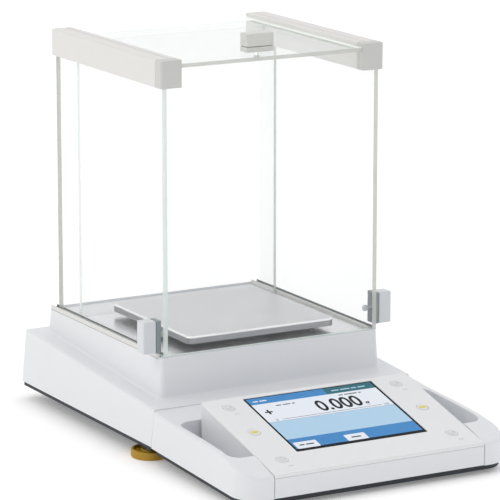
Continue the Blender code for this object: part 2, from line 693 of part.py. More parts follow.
def make_door(b, name, side):
    """Sliding side door: glass, spacer, handle and thumb screw."""
    z_mid = sum(DOOR_HANDLE_Z) / 2
    inner = DOOR_CENTRE - GLASS / 2
    outer = DOOR_CENTRE + GLASS / 2
    slide = b.empty(f"{name}_door_slide", (side * DOOR_CENTRE, DOOR_HANDLE_Y, z_mid))
    hole = (SCREW_RADIUS + GAP, side_range(side, 80 * MM, inner + SCREW_REACH + GAP))
    y = (DOOR_HANDLE_Y - HANDLE_DEPTH / 2, DOOR_HANDLE_Y + HANDLE_DEPTH / 2)

    def drill(obj):
        b.boolean(obj, cross_cylinder(DOOR_HANDLE_Y, z_mid, hole[0], hole[1], 24))

    bm = block(side_range(side, inner, outer), (DOOR_FRONT, DOOR_REAR),
               (DOOR_BOTTOM, DOOR_GROOVE_TOP - GAP))
    drill(b.piece(f"{name}_door_glass", bm, b.glass, slide))
    spacer_out = outer + GAP + SPACER
    bm = block(side_range(side, outer + GAP, spacer_out), y, DOOR_HANDLE_Z)
    drill(b.piece(f"{name}_door_spacer", bm, b.dark, slide))
    bm = block(side_range(side, spacer_out + GAP, DOOR_HANDLE_OUT), y, DOOR_HANDLE_Z)
    handle = b.piece(f"{name}_door_handle", bm, b.light_grey, slide)
    soften(handle, 1.0 * MM)
    drill(handle)
    turn = Matrix.Rotation(side * math.pi / 2, 4, "Y")
    aim = Matrix.Translation((side * inner, DOOR_HANDLE_Y, z_mid)) @ turn
    thumb_screw(b, f"{name}_door_screw", aim, slide)


def make_top_cover(b):
    """Sliding top cover: glass, spacer, handle and thumb screw."""
    slide = b.empty("top_cover_slide", (0.0, COVER_HANDLE_Y, COVER_BOTTOM))
    reach = COVER_BOTTOM + SCREW_REACH + GAP
    y = (COVER_HANDLE_Y - HANDLE_DEPTH / 2, COVER_HANDLE_Y + HANDLE_DEPTH / 2)
    x = (-COVER_HANDLE_HALF, COVER_HANDLE_HALF)

    def drill(obj):
        centre = (0.0, COVER_HANDLE_Y)
        b.boolean(obj, cylinder(centre, SCREW_RADIUS + GAP, (300 * MM, reach), 24))

    bm = block((-COVER_HALF, COVER_HALF), (COVER_FRONT, COVER_REAR), (COVER_BOTTOM, COVER_TOP))
    drill(b.piece("top_cover_glass", bm, b.glass, slide))
    bm = block(x, y, (COVER_TOP + GAP, COVER_TOP + GAP + SPACER))
    drill(b.piece("top_cover_spacer", bm, b.dark, slide))
    bm = block(x, y, (COVER_TOP + 2 * GAP + SPACER, COVER_HANDLE_TOP))
    handle = b.piece("top_cover_handle", bm, b.light_grey, slide)
    soften(handle, 1.0 * MM)
    drill(handle)
    aim = Matrix.Translation((0.0, COVER_HANDLE_Y, COVER_BOTTOM))
    thumb_screw(b, "top_cover_screw", aim, slide)


# --------------------------------------------------------------------------
# Control unit
# --------------------------------------------------------------------------

def carrier_block(inset, front, rear, bottom, top):
    """The carrier's form with leaning sides and rounded front corners."""
    ys = [rear, front] + [y for y, _ in CARRIER_TOP if front < y < rear]
    half = BASE_HALF_BOTTOM - inset
    bm = sloped_block((-half, half), ys, bottom, top)
    for vert in bm.verts:
        lean = max(0.0, vert.co.z - CARRIER_BOTTOM_REAR) * CARRIER_DRAFT
        vert.co.x -= math.copysign(lean, vert.co.x)
    corner = CARRIER_CORNER - inset
    round_edges(bm, lambda lo, hi: upright(lo, hi) and lo.y < front + MM, corner, 6)
    return bm


def make_carrier(b):
    """Carrier of the display: bay in the middle, finger pocket in each arm."""
    def bay_floor(y):
        return carrier_bottom(y) + CARRIER_FLOOR

    bm = carrier_block(0.0, CARRIER_FRONT, CARRIER_REAR, carrier_bottom, carrier_top)
    carrier = b.piece("control_carrier", bm, b.housing)
    high = 80 * MM
    front = CARRIER_FRONT - 10 * MM
    bay = sloped_block((-BAY_HALF, BAY_HALF), (BAY_REAR, front), bay_floor, lambda y: high)
    b.boolean(carrier, bay)
    mouth = block((-BAY_HALF, BAY_HALF), (front, BAY_FLOOR_END), (0.0, high))
    b.boolean(carrier, mouth)
    for side in (-1, 1):
        x = side_range(side, BAY_HALF - 8 * MM, POCKET_OUTER)
        pocket = sloped_block(x, (POCKET_FRONT, POCKET_REAR),
                              lambda y: bay_floor(y) + 0.5 * MM, lambda y: high)
        round_edges(pocket, lambda lo, hi: upright(lo, hi) and abs(lo.x) > BAY_HALF,
                    POCKET_CORNER, 4)
        b.boolean(carrier, pocket)
        x = side_range(side, BAY_HALF + WALL, 118 * MM)
        hollow = sloped_block(x, (-190 * MM, POCKET_FRONT - WALL), lambda y: 0.0,
                              lambda y: carrier_top(y) - WALL)
        b.boolean(carrier, hollow)
    x = (-118 * MM, 118 * MM)
    hollow = sloped_block(x, (BAY_REAR + WALL, CARRIER_REAR - WALL), lambda y: 0.0,
                          lambda y: carrier_top(y) - WALL)
    b.boolean(carrier, hollow)
    slot_x, slot_z = CABLE_SLOT
    b.boolean(carrier, block(slot_x, (-50 * MM, -40 * MM), slot_z))
    for side in (-1, 1):
        pin_x = side_range(side, BAY_HALF - 4 * MM, BAY_HALF + 9 * MM)
        b.boolean(carrier, cross_cylinder(HINGE.y, HINGE.z, HINGE_PIN_RADIUS + GAP, pin_x, 16))

    inset = CARRIER_TRAY_INSET
    bm = carrier_block(
        inset, CARRIER_FRONT + inset, CARRIER_REAR - inset,
        lambda y: carrier_bottom(y) - GAP - CARRIER_TRAY_THICK,
        lambda y: carrier_bottom(y) - GAP,
    )
    b.piece("carrier_tray", bm, b.dark)
    for name, side in (("left", -1), ("right", 1)):
        pin_x = side_range(side, DISPLAY_HALF - 3.5 * MM, BAY_HALF + 8.5 * MM)
        bm = cross_cylinder(HINGE.y, HINGE.z, HINGE_PIN_RADIUS, pin_x, 16)
        b.piece(f"{name}_hinge_pin", bm, b.steel)


def make_display(b):
    """Tilting display: housing, bezel, touch screen, circuit board and six keys."""
    hinge = b.empty("display_hinge", HINGE)
    slope = Matrix.Translation((0.0, DISPLAY_REAR, DISPLAY_TOP_REAR))
    slope = slope @ Matrix.Rotation(TILT, 4, "X")
    x = (-DISPLAY_HALF, DISPLAY_HALF)
    ends = (CARRIER_FRONT, DISPLAY_REAR)

    def housing_top(y):
        return slope_top(y) - BEZEL_THICK - GAP

    def housing_floor(y):
        return carrier_bottom(y) + CARRIER_FLOOR + GAP

    bm = sloped_block(x, ends, lambda y: DISPLAY_BOTTOM, housing_top)
    round_edges(bm, lambda lo, hi: upright(lo, hi) and lo.y > DISPLAY_REAR - MM, 3 * MM, 3)
    housing = b.piece("display_housing", bm, b.housing, hinge)
    lip_rear = CARRIER_FRONT + DISPLAY_LIP
    wide = (-BAY_HALF - 5 * MM, BAY_HALF + 5 * MM)
    under = sloped_block(wide, (lip_rear, DISPLAY_REAR + 5 * MM), lambda y: 0.0, housing_floor)
    b.boolean(housing, under)
    hollow_x = (-DISPLAY_HALF + DISPLAY_WALL, DISPLAY_HALF - DISPLAY_WALL)
    hollow_y = (CARRIER_FRONT + DISPLAY_FRONT_WALL, DISPLAY_REAR - DISPLAY_WALL)
    hollow = sloped_block(hollow_x, hollow_y,
                          lambda y: housing_floor(y) + DISPLAY_WALL, lambda y: 90 * MM)
    b.boolean(housing, hollow)
    for side in (-1, 1):
        pin_x = side_range(side, DISPLAY_HALF - 4 * MM, DISPLAY_HALF + 4 * MM)
        b.boolean(housing, cross_cylinder(HINGE.y, HINGE.z, HINGE_PIN_RADIUS + GAP, pin_x, 16))

    bm = sloped_block(x, ends, lambda y: slope_top(y) - BEZEL_THICK, slope_top)
    round_edges(bm, lambda lo, hi: upright(lo, hi) and lo.y > DISPLAY_REAR - MM, 3 * MM, 3)
    bezel = b.piece("display_bezel", bm, b.housing, hinge)
    near, far = SCREEN_SPAN
    deep = (-15 * MM, 10 * MM)
    b.boolean(bezel, block((-SCREEN_HALF, SCREEN_HALF), (-far, -near), deep), matrix=slope)
    half = SCREEN_HALF - GAP
    top = -0.3 * MM
    bm = block((-half, half), (-far + GAP, -near - GAP), (top - SCREEN_THICK, top))
    b.piece("touch_screen", bm, b.screen, hinge, slope)
    bm = block((-88 * MM, 88 * MM), (-108 * MM, -8 * MM), (-10.2 * MM, -8.6 * MM))
    b.piece("display_board", bm, b.board, hinge, slope)
    for name, side in (("left", -1), ("right", 1)):
        for row, down in KEY_ROWS:
            centre = (side * KEY_X, -down)
            hole = cylinder(centre, KEY_RADIUS + GAP, deep, 28)
            b.boolean(bezel, hole, matrix=slope)
            bm = cylinder(centre, KEY_RADIUS, (KEY_PROUD - KEY_HEIGHT, KEY_PROUD), 28)
            b.piece(f"key_{name}_{row}", bm, b.housing, hinge, slope)


def main():
    """Build the whole balance."""
    clear_scene()
    b = Balance()
    make_base_shell(b)
    make_bottom_tray(b)
    make_plinth_cover(b)
    make_rear_panel(b)
    make_feet(b)
    make_spirit_level(b)
    make_weighing_system(b)
    make_pan(b)
    make_chamber_floor(b)
    make_guides_and_rails(b)
    half = DOOR_CENTRE - GLASS / 2 - 0.4 * MM
    make_pane(b, "front_pane", half, FRONT_PANE, PLINTH_TOP + GAP)
    make_pane(b, "rear_pane", GUIDE_INNER - GAP, REAR_PANE, DECK + GAP)
    make_door(b, "left", -1)
    make_door(b, "right", 1)
    make_top_cover(b)
    make_carrier(b)
    make_display(b)


main()
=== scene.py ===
"""Analytical balance with a glass draft shield: the finished look round its fixed frame."""
import logging
import math
from dataclasses import dataclass, field
from enum import Enum
from typing import Callable, Iterable, Optional, Sequence

import bmesh
import bpy
from bmesh.types import BMEdge, BMesh
from mathutils import Matrix, Vector


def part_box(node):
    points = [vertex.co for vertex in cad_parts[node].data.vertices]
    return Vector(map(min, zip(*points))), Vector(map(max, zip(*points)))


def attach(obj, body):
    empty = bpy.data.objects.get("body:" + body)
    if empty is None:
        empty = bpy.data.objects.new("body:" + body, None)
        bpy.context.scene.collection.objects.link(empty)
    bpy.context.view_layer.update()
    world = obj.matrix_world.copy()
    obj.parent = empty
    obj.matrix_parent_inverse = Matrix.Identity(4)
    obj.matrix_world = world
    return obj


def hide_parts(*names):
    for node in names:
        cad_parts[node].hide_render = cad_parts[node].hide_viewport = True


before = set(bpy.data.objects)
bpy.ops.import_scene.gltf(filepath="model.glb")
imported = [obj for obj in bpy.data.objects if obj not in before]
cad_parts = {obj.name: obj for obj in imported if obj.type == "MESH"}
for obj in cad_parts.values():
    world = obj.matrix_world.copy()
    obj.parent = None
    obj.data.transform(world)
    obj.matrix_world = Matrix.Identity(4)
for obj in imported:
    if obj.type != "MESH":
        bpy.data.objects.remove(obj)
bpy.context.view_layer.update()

LOG = logging.getLogger("balance")
MM = 0.001
SIDES = (("left", -1), ("right", 1))
Range = tuple[float, float]
Pick = Callable[[Vector, Vector], bool]


# --------------------------------------------------------------------------
# Material helpers
# --------------------------------------------------------------------------

def linear(code: str, alpha: float = 1.0) -> tuple[float, float, float, float]:
    """Turn an sRGB hex colour into linear values.

    Args:
        code: Colour as "#RRGGBB".
        alpha: Opacity that is passed through.

    Returns:
        Linear red, green and blue, and the opacity.
    """
    channels = []
    for start in (1, 3, 5):
        value = int(code[start:start + 2], 16) / 255.0
        channels.append(value / 12.92 if value <= 0.04045 else ((value + 0.055) / 1.055) ** 2.4)
    return (channels[0], channels[1], channels[2], alpha)


def add_node(tree: bpy.types.NodeTree, kind: str, settings: Optional[dict] = None,
             links: Optional[dict] = None) -> bpy.types.Node:
    """Add a shader node with its settings and links.

    Args:
        tree: Node tree that takes the node.
        kind: Type name of the node.
        settings: Attribute values by name, or input values by socket name or index.
        links: Output sockets by the name or index of the input that they feed.

    Returns:
        The new node.
    """
    node = tree.nodes.new(kind)
    for key, value in (settings or {}).items():
        if isinstance(key, int) or key in node.inputs:
            node.inputs[key].default_value = value
        else:
            setattr(node, key, value)
    for key, source in (links or {}).items():
        tree.links.new(source, node.inputs[key])
    return node


UNLIT = "#0A0D10"
SMOOTHEST = 0.02


@dataclass(frozen=True)
class Finish:
    """A surface finish on one Principled shader.

    The mottle is a slow drift of the base colour and the grain is a fine relief.
    A lit finish shows its colour as light on a dark base. A glow adds the colour as emission:
    the screen's own light, and painted light on the glass edges.
    """

    name: str
    colour: str
    roughness: float
    metallic: float = 0.0
    ior: float = 1.5
    alpha: float = 1.0
    coat: float = 0.0
    mottle: float = 0.02
    mottle_mm: float = 45.0
    grain_mm: float = 1.0
    grain_depth_mm: float = 0.02
    stretch: tuple[float, float, float] = (1.0, 1.0, 1.0)
    roughness_spread: float = 0.05
    glow: float = 0.0
    lit: bool = False

    def material(self) -> bpy.types.Material:
        """Return the finish's material, built on first use."""
        known = bpy.data.materials.get(self.name)
        return known if known is not None else self.build()

    def build(self) -> bpy.types.Material:
        """Build the material.

        Returns:
            The new material.
        """
        mat = bpy.data.materials.new(self.name)
        mat.use_nodes = True
        tree = mat.node_tree
        shader = tree.nodes["Principled BSDF"]
        shader.inputs["Metallic"].default_value = self.metallic
        shader.inputs["IOR"].default_value = self.ior
        shader.inputs["Alpha"].default_value = self.alpha
        shader.inputs["Coat Weight"].default_value = self.coat
        place = add_node(tree, "ShaderNodeTexCoord").outputs["Object"]
        drift = add_node(tree, "ShaderNodeTexNoise",
                         {"Scale": 1.0 / (self.mottle_mm * MM), "Detail": 2.0},
                         {"Vector": place})
        red, green, blue, _ = linear(self.colour)
        dark = tuple(channel * (1.0 - self.mottle) for channel in (red, green, blue))
        light = tuple(min(1.0, channel * (1.0 + self.mottle)) for channel in (red, green, blue))
        colour = add_node(tree, "ShaderNodeMix",
                          {"data_type": "RGBA", 6: (*dark, 1.0), 7: (*light, 1.0)},
                          {0: drift.outputs["Fac"]})
        if self.lit:
            shader.inputs["Base Color"].default_value = linear(UNLIT)
        else:
            tree.links.new(colour.outputs[2], shader.inputs["Base Color"])
        pull = add_node(tree, "ShaderNodeMapping", {"Scale": self.stretch}, {"Vector": place})
        grain = add_node(tree, "ShaderNodeTexNoise",
                         {"Scale": 1.0 / (self.grain_mm * MM), "Detail": 3.0},
                         {"Vector": pull.outputs["Vector"]})
        low = max(SMOOTHEST, self.roughness - self.roughness_spread)
        rough = add_node(tree, "ShaderNodeMapRange",
                         {"To Min": low, "To Max": self.roughness + self.roughness_spread},
                         {"Value": grain.outputs["Fac"]})
        tree.links.new(rough.outputs["Result"], shader.inputs["Roughness"])
        bump = add_node(tree, "ShaderNodeBump",
                        {"Strength": 0.6, "Distance": self.grain_depth_mm * MM},
                        {"Height": grain.outputs["Fac"]})
        tree.links.new(bump.outputs["Normal"], shader.inputs["Normal"])
        # Emission: the screen's own light, and painted light where a glass edge glows
        if self.glow:
            tree.links.new(colour.outputs[2], shader.inputs["Emission Color"])
            shader.inputs["Emission Strength"].default_value = self.glow
        self.extra(tree, shader, place)
        return mat

    def extra(self, tree: bpy.types.NodeTree, shader: bpy.types.Node,
              place: bpy.types.NodeSocket) -> None:
        """Hook for a finish that adds to the common nodes."""


@dataclass(frozen=True)
class SheetGlass(Finish):
    """Clear float glass, seen as a pale film whose opacity rises at a flatter angle: a painted
    reflection.
    """

    head_on: float = 0.05
    grazing: float = 0.55

    def extra(self, tree: bpy.types.NodeTree, shader: bpy.types.Node,
              place: bpy.types.NodeSocket) -> None:
        """Let the viewing angle set the film's painted reflection, and faint wiping marks make
        it uneven.

        Args:
            tree: The material's nodes.
            shader: Its Principled shader.
            place: Object coordinates.
        """
        # Painted reflection: the pale film grows more opaque towards grazing angles
        facing = add_node(tree, "ShaderNodeLayerWeight", {"Blend": 0.5}).outputs["Facing"]
        flat = add_node(tree, "ShaderNodeMath", {"operation": "POWER", 1: 5.0}, {0: facing})
        film = add_node(tree, "ShaderNodeMapRange",
                        {"To Min": self.head_on, "To Max": self.grazing},
                        {"Value": flat.outputs["Value"]})
        wipe = add_node(tree, "ShaderNodeTexNoise", {"Scale": 9.0, "Detail": 2.0},
                        {"Vector": place})
        uneven = add_node(tree, "ShaderNodeMapRange", {"To Min": 0.8, "To Max": 1.2},
                          {"Value": wipe.outputs["Fac"]})
        veil = add_node(tree, "ShaderNodeMath", {"operation": "MULTIPLY"},
                        {0: film.outputs["Result"], 1: uneven.outputs["Result"]})
        tree.links.new(veil.outputs["Value"], shader.inputs["Alpha"])


class Finishes(Enum):
    """Every finish on the balance."""

    # Injection-moulded ABS, spark-eroded to a fine satin: soft, even, slightly warm white
    HOUSING = Finish("white_moulded_abs", "#E4E6E9", 0.42, mottle=0.012, grain_mm=0.9,
                     grain_depth_mm=0.012)
    # The same ABS with a smoother tool face on the display's top plate
    BEZEL = Finish("white_satin_abs", "#E8E9EB", 0.36, mottle=0.01, grain_mm=1.2,
                   grain_depth_mm=0.006)
    # Extruded and sprayed rail: warm light grey with faint draw lines along it
    RAIL = Finish("warm_grey_extrusion", "#DEDDDA", 0.42, mottle=0.012, grain_mm=0.9,
                  grain_depth_mm=0.01, stretch=(1.0, 0.04, 1.0))
    # Moulded end cap: the same grey, darker and duller than the rail
    CAP = Finish("warm_grey_moulding", "#CBCBC8", 0.48, grain_mm=1.0, grain_depth_mm=0.012)
    # Moulded nylon handle: cool light grey satin
    HANDLE = Finish("cool_grey_nylon", "#D6DADD", 0.40, grain_mm=0.8, grain_depth_mm=0.012)
    # Handle of the top cover: the same nylon without the cool tint
    COVER_HANDLE = Finish("warm_grey_nylon", "#D6D6D2", 0.45, grain_mm=0.8,
                          grain_depth_mm=0.012)
    # Spacer of the same nylon in a darker grey
    SPACER = Finish("slate_grey_nylon", "#8C9499", 0.45, grain_mm=0.8)
    # Dark ABS trays: blue-black and matt, so that the housing seems to float
    TRAY = Finish("blue_black_abs", "#1E242C", 0.55, grain_mm=1.2, grain_depth_mm=0.03)
    # Darker grey on the door guides' groove faces: painted shade
    GROOVE_SHADE = Finish("painted_groove_shade", "#6E7277", 0.7, grain_mm=0.6, grain_depth_mm=0.03)
    # Clear float glass: nearly invisible face on, a faint cool veil that thickens at flatter
    # angles as a painted reflection
    GLASS = SheetGlass("float_glass", "#E6ECEA", 0.04, grain_depth_mm=0.0,
                       roughness_spread=0.01, mottle=0.01)
    # Ground and polished glass edge, where the iron in the glass shows green-grey; its faint
    # glow is painted light
    GLASS_EDGE = Finish("polished_glass_edge", "#CBD5D1", 0.18, alpha=0.72, mottle=0.06,
                        mottle_mm=12.0, grain_mm=0.8, grain_depth_mm=0.01, glow=0.22)
    # A greyer copy of the same edge: painted shade where it backs onto a dark groove
    GLASS_SHADED_EDGE = Finish("shaded_glass_edge", "#CBCDC7", 0.18, alpha=0.85, mottle=0.06,
                             mottle_mm=12.0, grain_mm=0.8, grain_depth_mm=0.01)
    # The cover's edges inside the rails: painted light, a strong glow standing for light carried
    # along the glass
    GLASS_LIT_EDGE = Finish("painted_light_glass_edge", "#DCE0DB", 0.2, glow=0.75,
                            mottle=0.04, mottle_mm=12.0)
    # Stainless steel pan: straight brush marks that run from side to side
    PAN = Finish("brushed_stainless", "#D0D0D2", 0.34, metallic=0.9, mottle=0.05,
                 mottle_mm=30.0, grain_mm=0.7, grain_depth_mm=0.03,
                 stretch=(0.03, 1.0, 1.0), roughness_spread=0.10)
    # Polished rolled rim of the pan: smoother than its face, and a brighter colour that paints
    # its highlight
    PAN_RIM = Finish("polished_stainless_painted_highlight", "#F4F4F6", 0.10, metallic=1.0, mottle=0.02,
                     grain_mm=1.2, grain_depth_mm=0.004)
    # Skirt of the pan: the same sheet in a darker grey, painted shade on its upright sides
    PAN_SKIRT = Finish("painted_shade_stainless_skirt", "#9B9CA0", 0.35, metallic=0.9, grain_mm=0.7)
    # Near-black underside and inner faces of the pan: painted shade that darkens the gap below
    # it
    PAN_UNDER = Finish("painted_shade_under_pan", "#26272A", 0.6, grain_mm=0.7)
    # Rolled stainless floor plate: dull, a little darker than the pan
    FLOOR_PLATE = Finish("satin_stainless", "#E2E2E4", 0.22, metallic=0.85, mottle=0.03,
                         grain_mm=0.7, grain_depth_mm=0.015, stretch=(0.05, 1.0, 1.0))
    # Turned bright steel: stems, pins and sockets
    STEEL = Finish("turned_steel", "#B4B6B8", 0.30, metallic=1.0, grain_mm=0.5,
                   stretch=(1.0, 1.0, 12.0))
    # Milled aluminium of the weigh cell and the pan support
    ALUMINIUM = Finish("milled_aluminium", "#C6C8CA", 0.38, metallic=1.0, grain_mm=0.8,
                       stretch=(0.1, 1.0, 1.0))
    # Turned brass of the built-in weight
    BRASS = Finish("turned_brass", "#C9A764", 0.30, metallic=1.0, grain_mm=0.5,
                   stretch=(12.0, 1.0, 1.0))
    # Moulded mustard-yellow polyamide of the levelling wheels
    WHEEL = Finish("mustard_polyamide", "#B28A10", 0.36, mottle=0.05, mottle_mm=12.0,
                   grain_mm=0.9, grain_depth_mm=0.02)
    # Black synthetic rubber of the feet
    RUBBER = Finish("black_rubber", "#1C1C1D", 0.82, grain_mm=0.9, grain_depth_mm=0.05)
    # Green solder mask on the circuit boards
    BOARD = Finish("solder_mask", "#1E5A38", 0.40, mottle=0.12, mottle_mm=6.0)
    # Cover glass of the touch screen: near black, glossy
    SCREEN = Finish("screen_cover_glass", "#0B1218", 0.12, ior=1.15, grain_depth_mm=0.0,
                    roughness_spread=0.02)
    # Spirit level: acid-yellow oil under a clear window
    OIL = Finish("level_oil", "#C7D65A", 0.08, coat=0.6, mottle=0.04, mottle_mm=3.0)
    BUBBLE = Finish("level_bubble", "#EEF6C8", 0.06, coat=0.6, mottle=0.02)
    # Pad-printed inks on the housing and keys
    INK_GREY = Finish("grey_ink", "#B9BCC0", 0.5, grain_depth_mm=0.004)
    INK_FAINT = Finish("pale_grey_ink", "#CBCED1", 0.5, grain_depth_mm=0.004)
    INK_YELLOW = Finish("yellow_ink", "#E2D476", 0.5, grain_depth_mm=0.004)
    # Lit areas of the display, each a flat colour behind the cover glass
    LIT_BLUE = Finish("lit_blue", "#3F86C4", 0.3, ior=1.2, lit=True, glow=0.95, mottle=0.05)
    LIT_TEAL = Finish("lit_teal", "#2B6973", 0.3, ior=1.2, lit=True, glow=0.95, mottle=0.05)
    LIT_WHITE = Finish("lit_white", "#E6EBF3", 0.3, ior=1.2, lit=True, glow=0.95,
                       mottle=0.01)
    LIT_SKY = Finish("lit_sky_blue", "#AFD0E8", 0.3, ior=1.2, lit=True, glow=0.95,
                     mottle=0.02)
    LIT_BLACK = Finish("lit_black", "#0E1113", 0.3, ior=1.2)
    LIT_GREY = Finish("lit_grey", "#6F7A84", 0.3, ior=1.2, lit=True, glow=0.8)

    @property
    def mat(self) -> bpy.types.Material:
        """The finish's material."""
        return self.value.material()


# --------------------------------------------------------------------------
# Mesh helpers
# --------------------------------------------------------------------------

def block(x: Range, y: Range, z: Range) -> BMesh:
    """Return a box over the three ranges."""
    bm = bmesh.new()
    bmesh.ops.create_cube(bm, size=2.0)
    for vert in bm.verts:
        vert.co = Vector((x[vert.co.x > 0], y[vert.co.y > 0], z[vert.co.z > 0]))
    return bm


def block_over(node: str) -> BMesh:
    """Return a plain box as large as a frame node."""
    lo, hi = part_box(node)
    return block((lo.x, hi.x), (lo.y, hi.y), (lo.z, hi.z))


def foot_point(node: str) -> Matrix:
    """Return the shift to the middle of a frame node, at height 0."""
    lo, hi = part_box(node)
    return Matrix.Translation(((lo.x + hi.x) / 2, (lo.y + hi.y) / 2, 0.0))


def sloped_block(x: Range, stations: Iterable[float], bottom: Callable[[float], float],
                 top: Callable[[float], float]) -> BMesh:
    """Build a box whose underside and top follow two heights along y.

    Args:
        x: Width range.
        stations: y values where the heights may change direction.
        bottom: Height of the underside at y.
        top: Height of the top at y.

    Returns:
        The closed mesh.
    """
    ys = sorted(stations)
    bm = block(x, (ys[0], ys[-1]), (0.0, 1.0))
    for y in ys[1:-1]:
        bmesh.ops.bisect_plane(bm, geom=bm.verts[:] + bm.edges[:] + bm.faces[:],
                               plane_co=(0, y, 0), plane_no=(0, 1, 0))
    for vert in bm.verts:
        vert.co.z = top(vert.co.y) if vert.co.z > 0.5 else bottom(vert.co.y)
    return bm


def outline(x: Range, y: Range, front: float, rear: float, steps: int = 8) -> list[Vector]:
    """Trace a rectangle with rounded corners, anticlockwise.

    Args:
        x: Width range.
        y: Depth range.
        front: Radius of the two front corners; 0 keeps them sharp.
        rear: Radius of the two rear corners.
        steps: Segments in a rounded corner.

    Returns:
        The points, at height 0.
    """
    points = []
    for quarter, (sx, sy) in enumerate(((0, 0), (1, 0), (1, 1), (0, 1))):
        radius = rear if sy else front
        centre = Vector((x[sx] + (radius, -radius)[sx], y[sy] + (radius, -radius)[sy], 0.0))
        for step in range(steps + 1 if radius else 1):
            angle = math.pi + (quarter + step / steps) * math.pi / 2
            points.append(centre + radius * Vector((math.cos(angle), math.sin(angle), 0.0)))
    return points


def loft(rings: Sequence[Sequence[Vector]]) -> BMesh:
    """Build a closed form through rings of equal length, from the lowest up."""
    bm = bmesh.new()
    loops = [[bm.verts.new(point) for point in ring] for ring in rings]
    for lower, upper in zip(loops, loops[1:]):
        for index, vert in enumerate(lower):
            after = (index + 1) % len(lower)
            bm.faces.new((vert, lower[after], upper[after], upper[index]))
    bm.faces.new(loops[0][::-1])
    bm.faces.new(loops[-1])
    return bm


def arc(radius: float, steps: int) -> list[tuple[float, float]]:
    """Return (inset, rise) pairs of a quarter round, from the side to the top."""
    turns = [step / steps * math.pi / 2 for step in range(steps + 1)]
    return [(radius * (1 - math.cos(turn)), radius * math.sin(turn)) for turn in turns]


def cylinder(centre: Vector, radius: float, z: Range) -> BMesh:
    """Return an upright cylinder over the range z."""
    bm = bmesh.new()
    bmesh.ops.create_cone(bm, cap_ends=True, segments=64, radius1=radius, radius2=radius,
                          depth=z[1] - z[0])
    bmesh.ops.translate(bm, vec=(centre[0], centre[1], (z[0] + z[1]) / 2), verts=bm.verts)
    return bm


def turned(profile: Sequence[tuple[float, float]], steps: int = 64) -> BMesh:
    """Spin a profile of (radius, height) points round Z.

    Args:
        profile: Points down the outer side; a radius of 0 closes an end.
        steps: Sides of the turned piece.

    Returns:
        The closed mesh.
    """
    bm = bmesh.new()
    verts = [bm.verts.new((radius, 0.0, height)) for radius, height in profile]
    edges = [bm.edges.new(pair) for pair in zip(verts, verts[1:])]
    bmesh.ops.spin(bm, geom=verts + edges, cent=(0, 0, 0), axis=(0, 0, 1),
                   dvec=(0, 0, 0), angle=math.tau, steps=steps, use_merge=True)
    bmesh.ops.remove_doubles(bm, verts=bm.verts, dist=1e-7)
    bmesh.ops.recalc_face_normals(bm, faces=bm.faces)
    return bm


def move(bm: BMesh, matrix: Matrix) -> BMesh:
    """Return the mesh after the matrix has moved it."""
    bmesh.ops.transform(bm, matrix=matrix, verts=bm.verts)
    return bm


def knurl(bm: BMesh, rim: float, ridges: int, depth: float) -> BMesh:
    """Pull in every other column of vertices on the rim of a turned mesh.

    Args:
        bm: Mesh turned in two steps for each ridge.
        rim: Radius outside which the rim begins.
        ridges: Number of ridges.
        depth: Depth of the grooves between them.

    Returns:
        The same mesh.
    """
    for vert in bm.verts:
        radius = math.hypot(vert.co.x, vert.co.y)
        step = round(math.atan2(vert.co.y, vert.co.x) / (math.pi / ridges))
        if radius > rim and step % 2:
            vert.co.x *= 1 - depth / radius
            vert.co.y *= 1 - depth / radius
    return bm


def upright(low: Vector, high: Vector) -> bool:
    """True for an edge that runs up and down."""
    return high.z - low.z > 0.5 * (high - low).length


def bevel(bm: BMesh, edges: Sequence[BMEdge], width: float, segments: int,
          clamp: bool = True) -> BMesh:
    """Bevel edges to a round.

    Args:
        bm: Mesh to change.
        edges: Its edges to bevel.
        width: Width of the rounding.
        segments: Faces across it.
        clamp: Stop roundings from running into each other.

    Returns:
        The same mesh.
    """
    bmesh.ops.bevel(bm, geom=edges, offset=width, offset_type="OFFSET", affect="EDGES",
                    segments=segments, profile=0.5, material=-1, clamp_overlap=clamp)
    return bm


def round_edges(bm: BMesh, chosen: Pick, width: float, segments: int = 4,
                clamp: bool = True) -> BMesh:
    """Round the edges whose low and high ends pass a test.

    Args:
        bm: Mesh to change.
        chosen: Test on an edge's lower and upper end.
        width: Width of the rounding.
        segments: Faces across it.
        clamp: Stop roundings from running into each other.

    Returns:
        The same mesh.
    """
    picked = []
    for edge in bm.edges:
        low, high = sorted((vert.co.copy() for vert in edge.verts), key=lambda co: co.z)
        if chosen(low, high):
            picked.append(edge)
    return bevel(bm, picked, width, segments, clamp)


def sharp_edges(bm: BMesh, degrees: float = 30.0) -> list[BMEdge]:
    """Return the edges whose faces meet at more than an angle."""
    limit = math.radians(degrees)
    return [edge for edge in bm.edges
            if len(edge.link_faces) == 2 and edge.calc_face_angle(0.0) > limit]


def break_edges(bm: BMesh, width: float, segments: int = 2) -> BMesh:
    """Take the sharpness off every edge of the mesh."""
    return bevel(bm, sharp_edges(bm), width, segments)


def solid_object(bm: BMesh) -> bpy.types.Object:
    """Put a mesh in a temporary object, and free the mesh."""
    bmesh.ops.recalc_face_normals(bm, faces=bm.faces)
    mesh = bpy.data.meshes.new("work")
    bm.to_mesh(mesh)
    bm.free()
    obj = bpy.data.objects.new("work", mesh)
    bpy.context.scene.collection.objects.link(obj)
    return obj


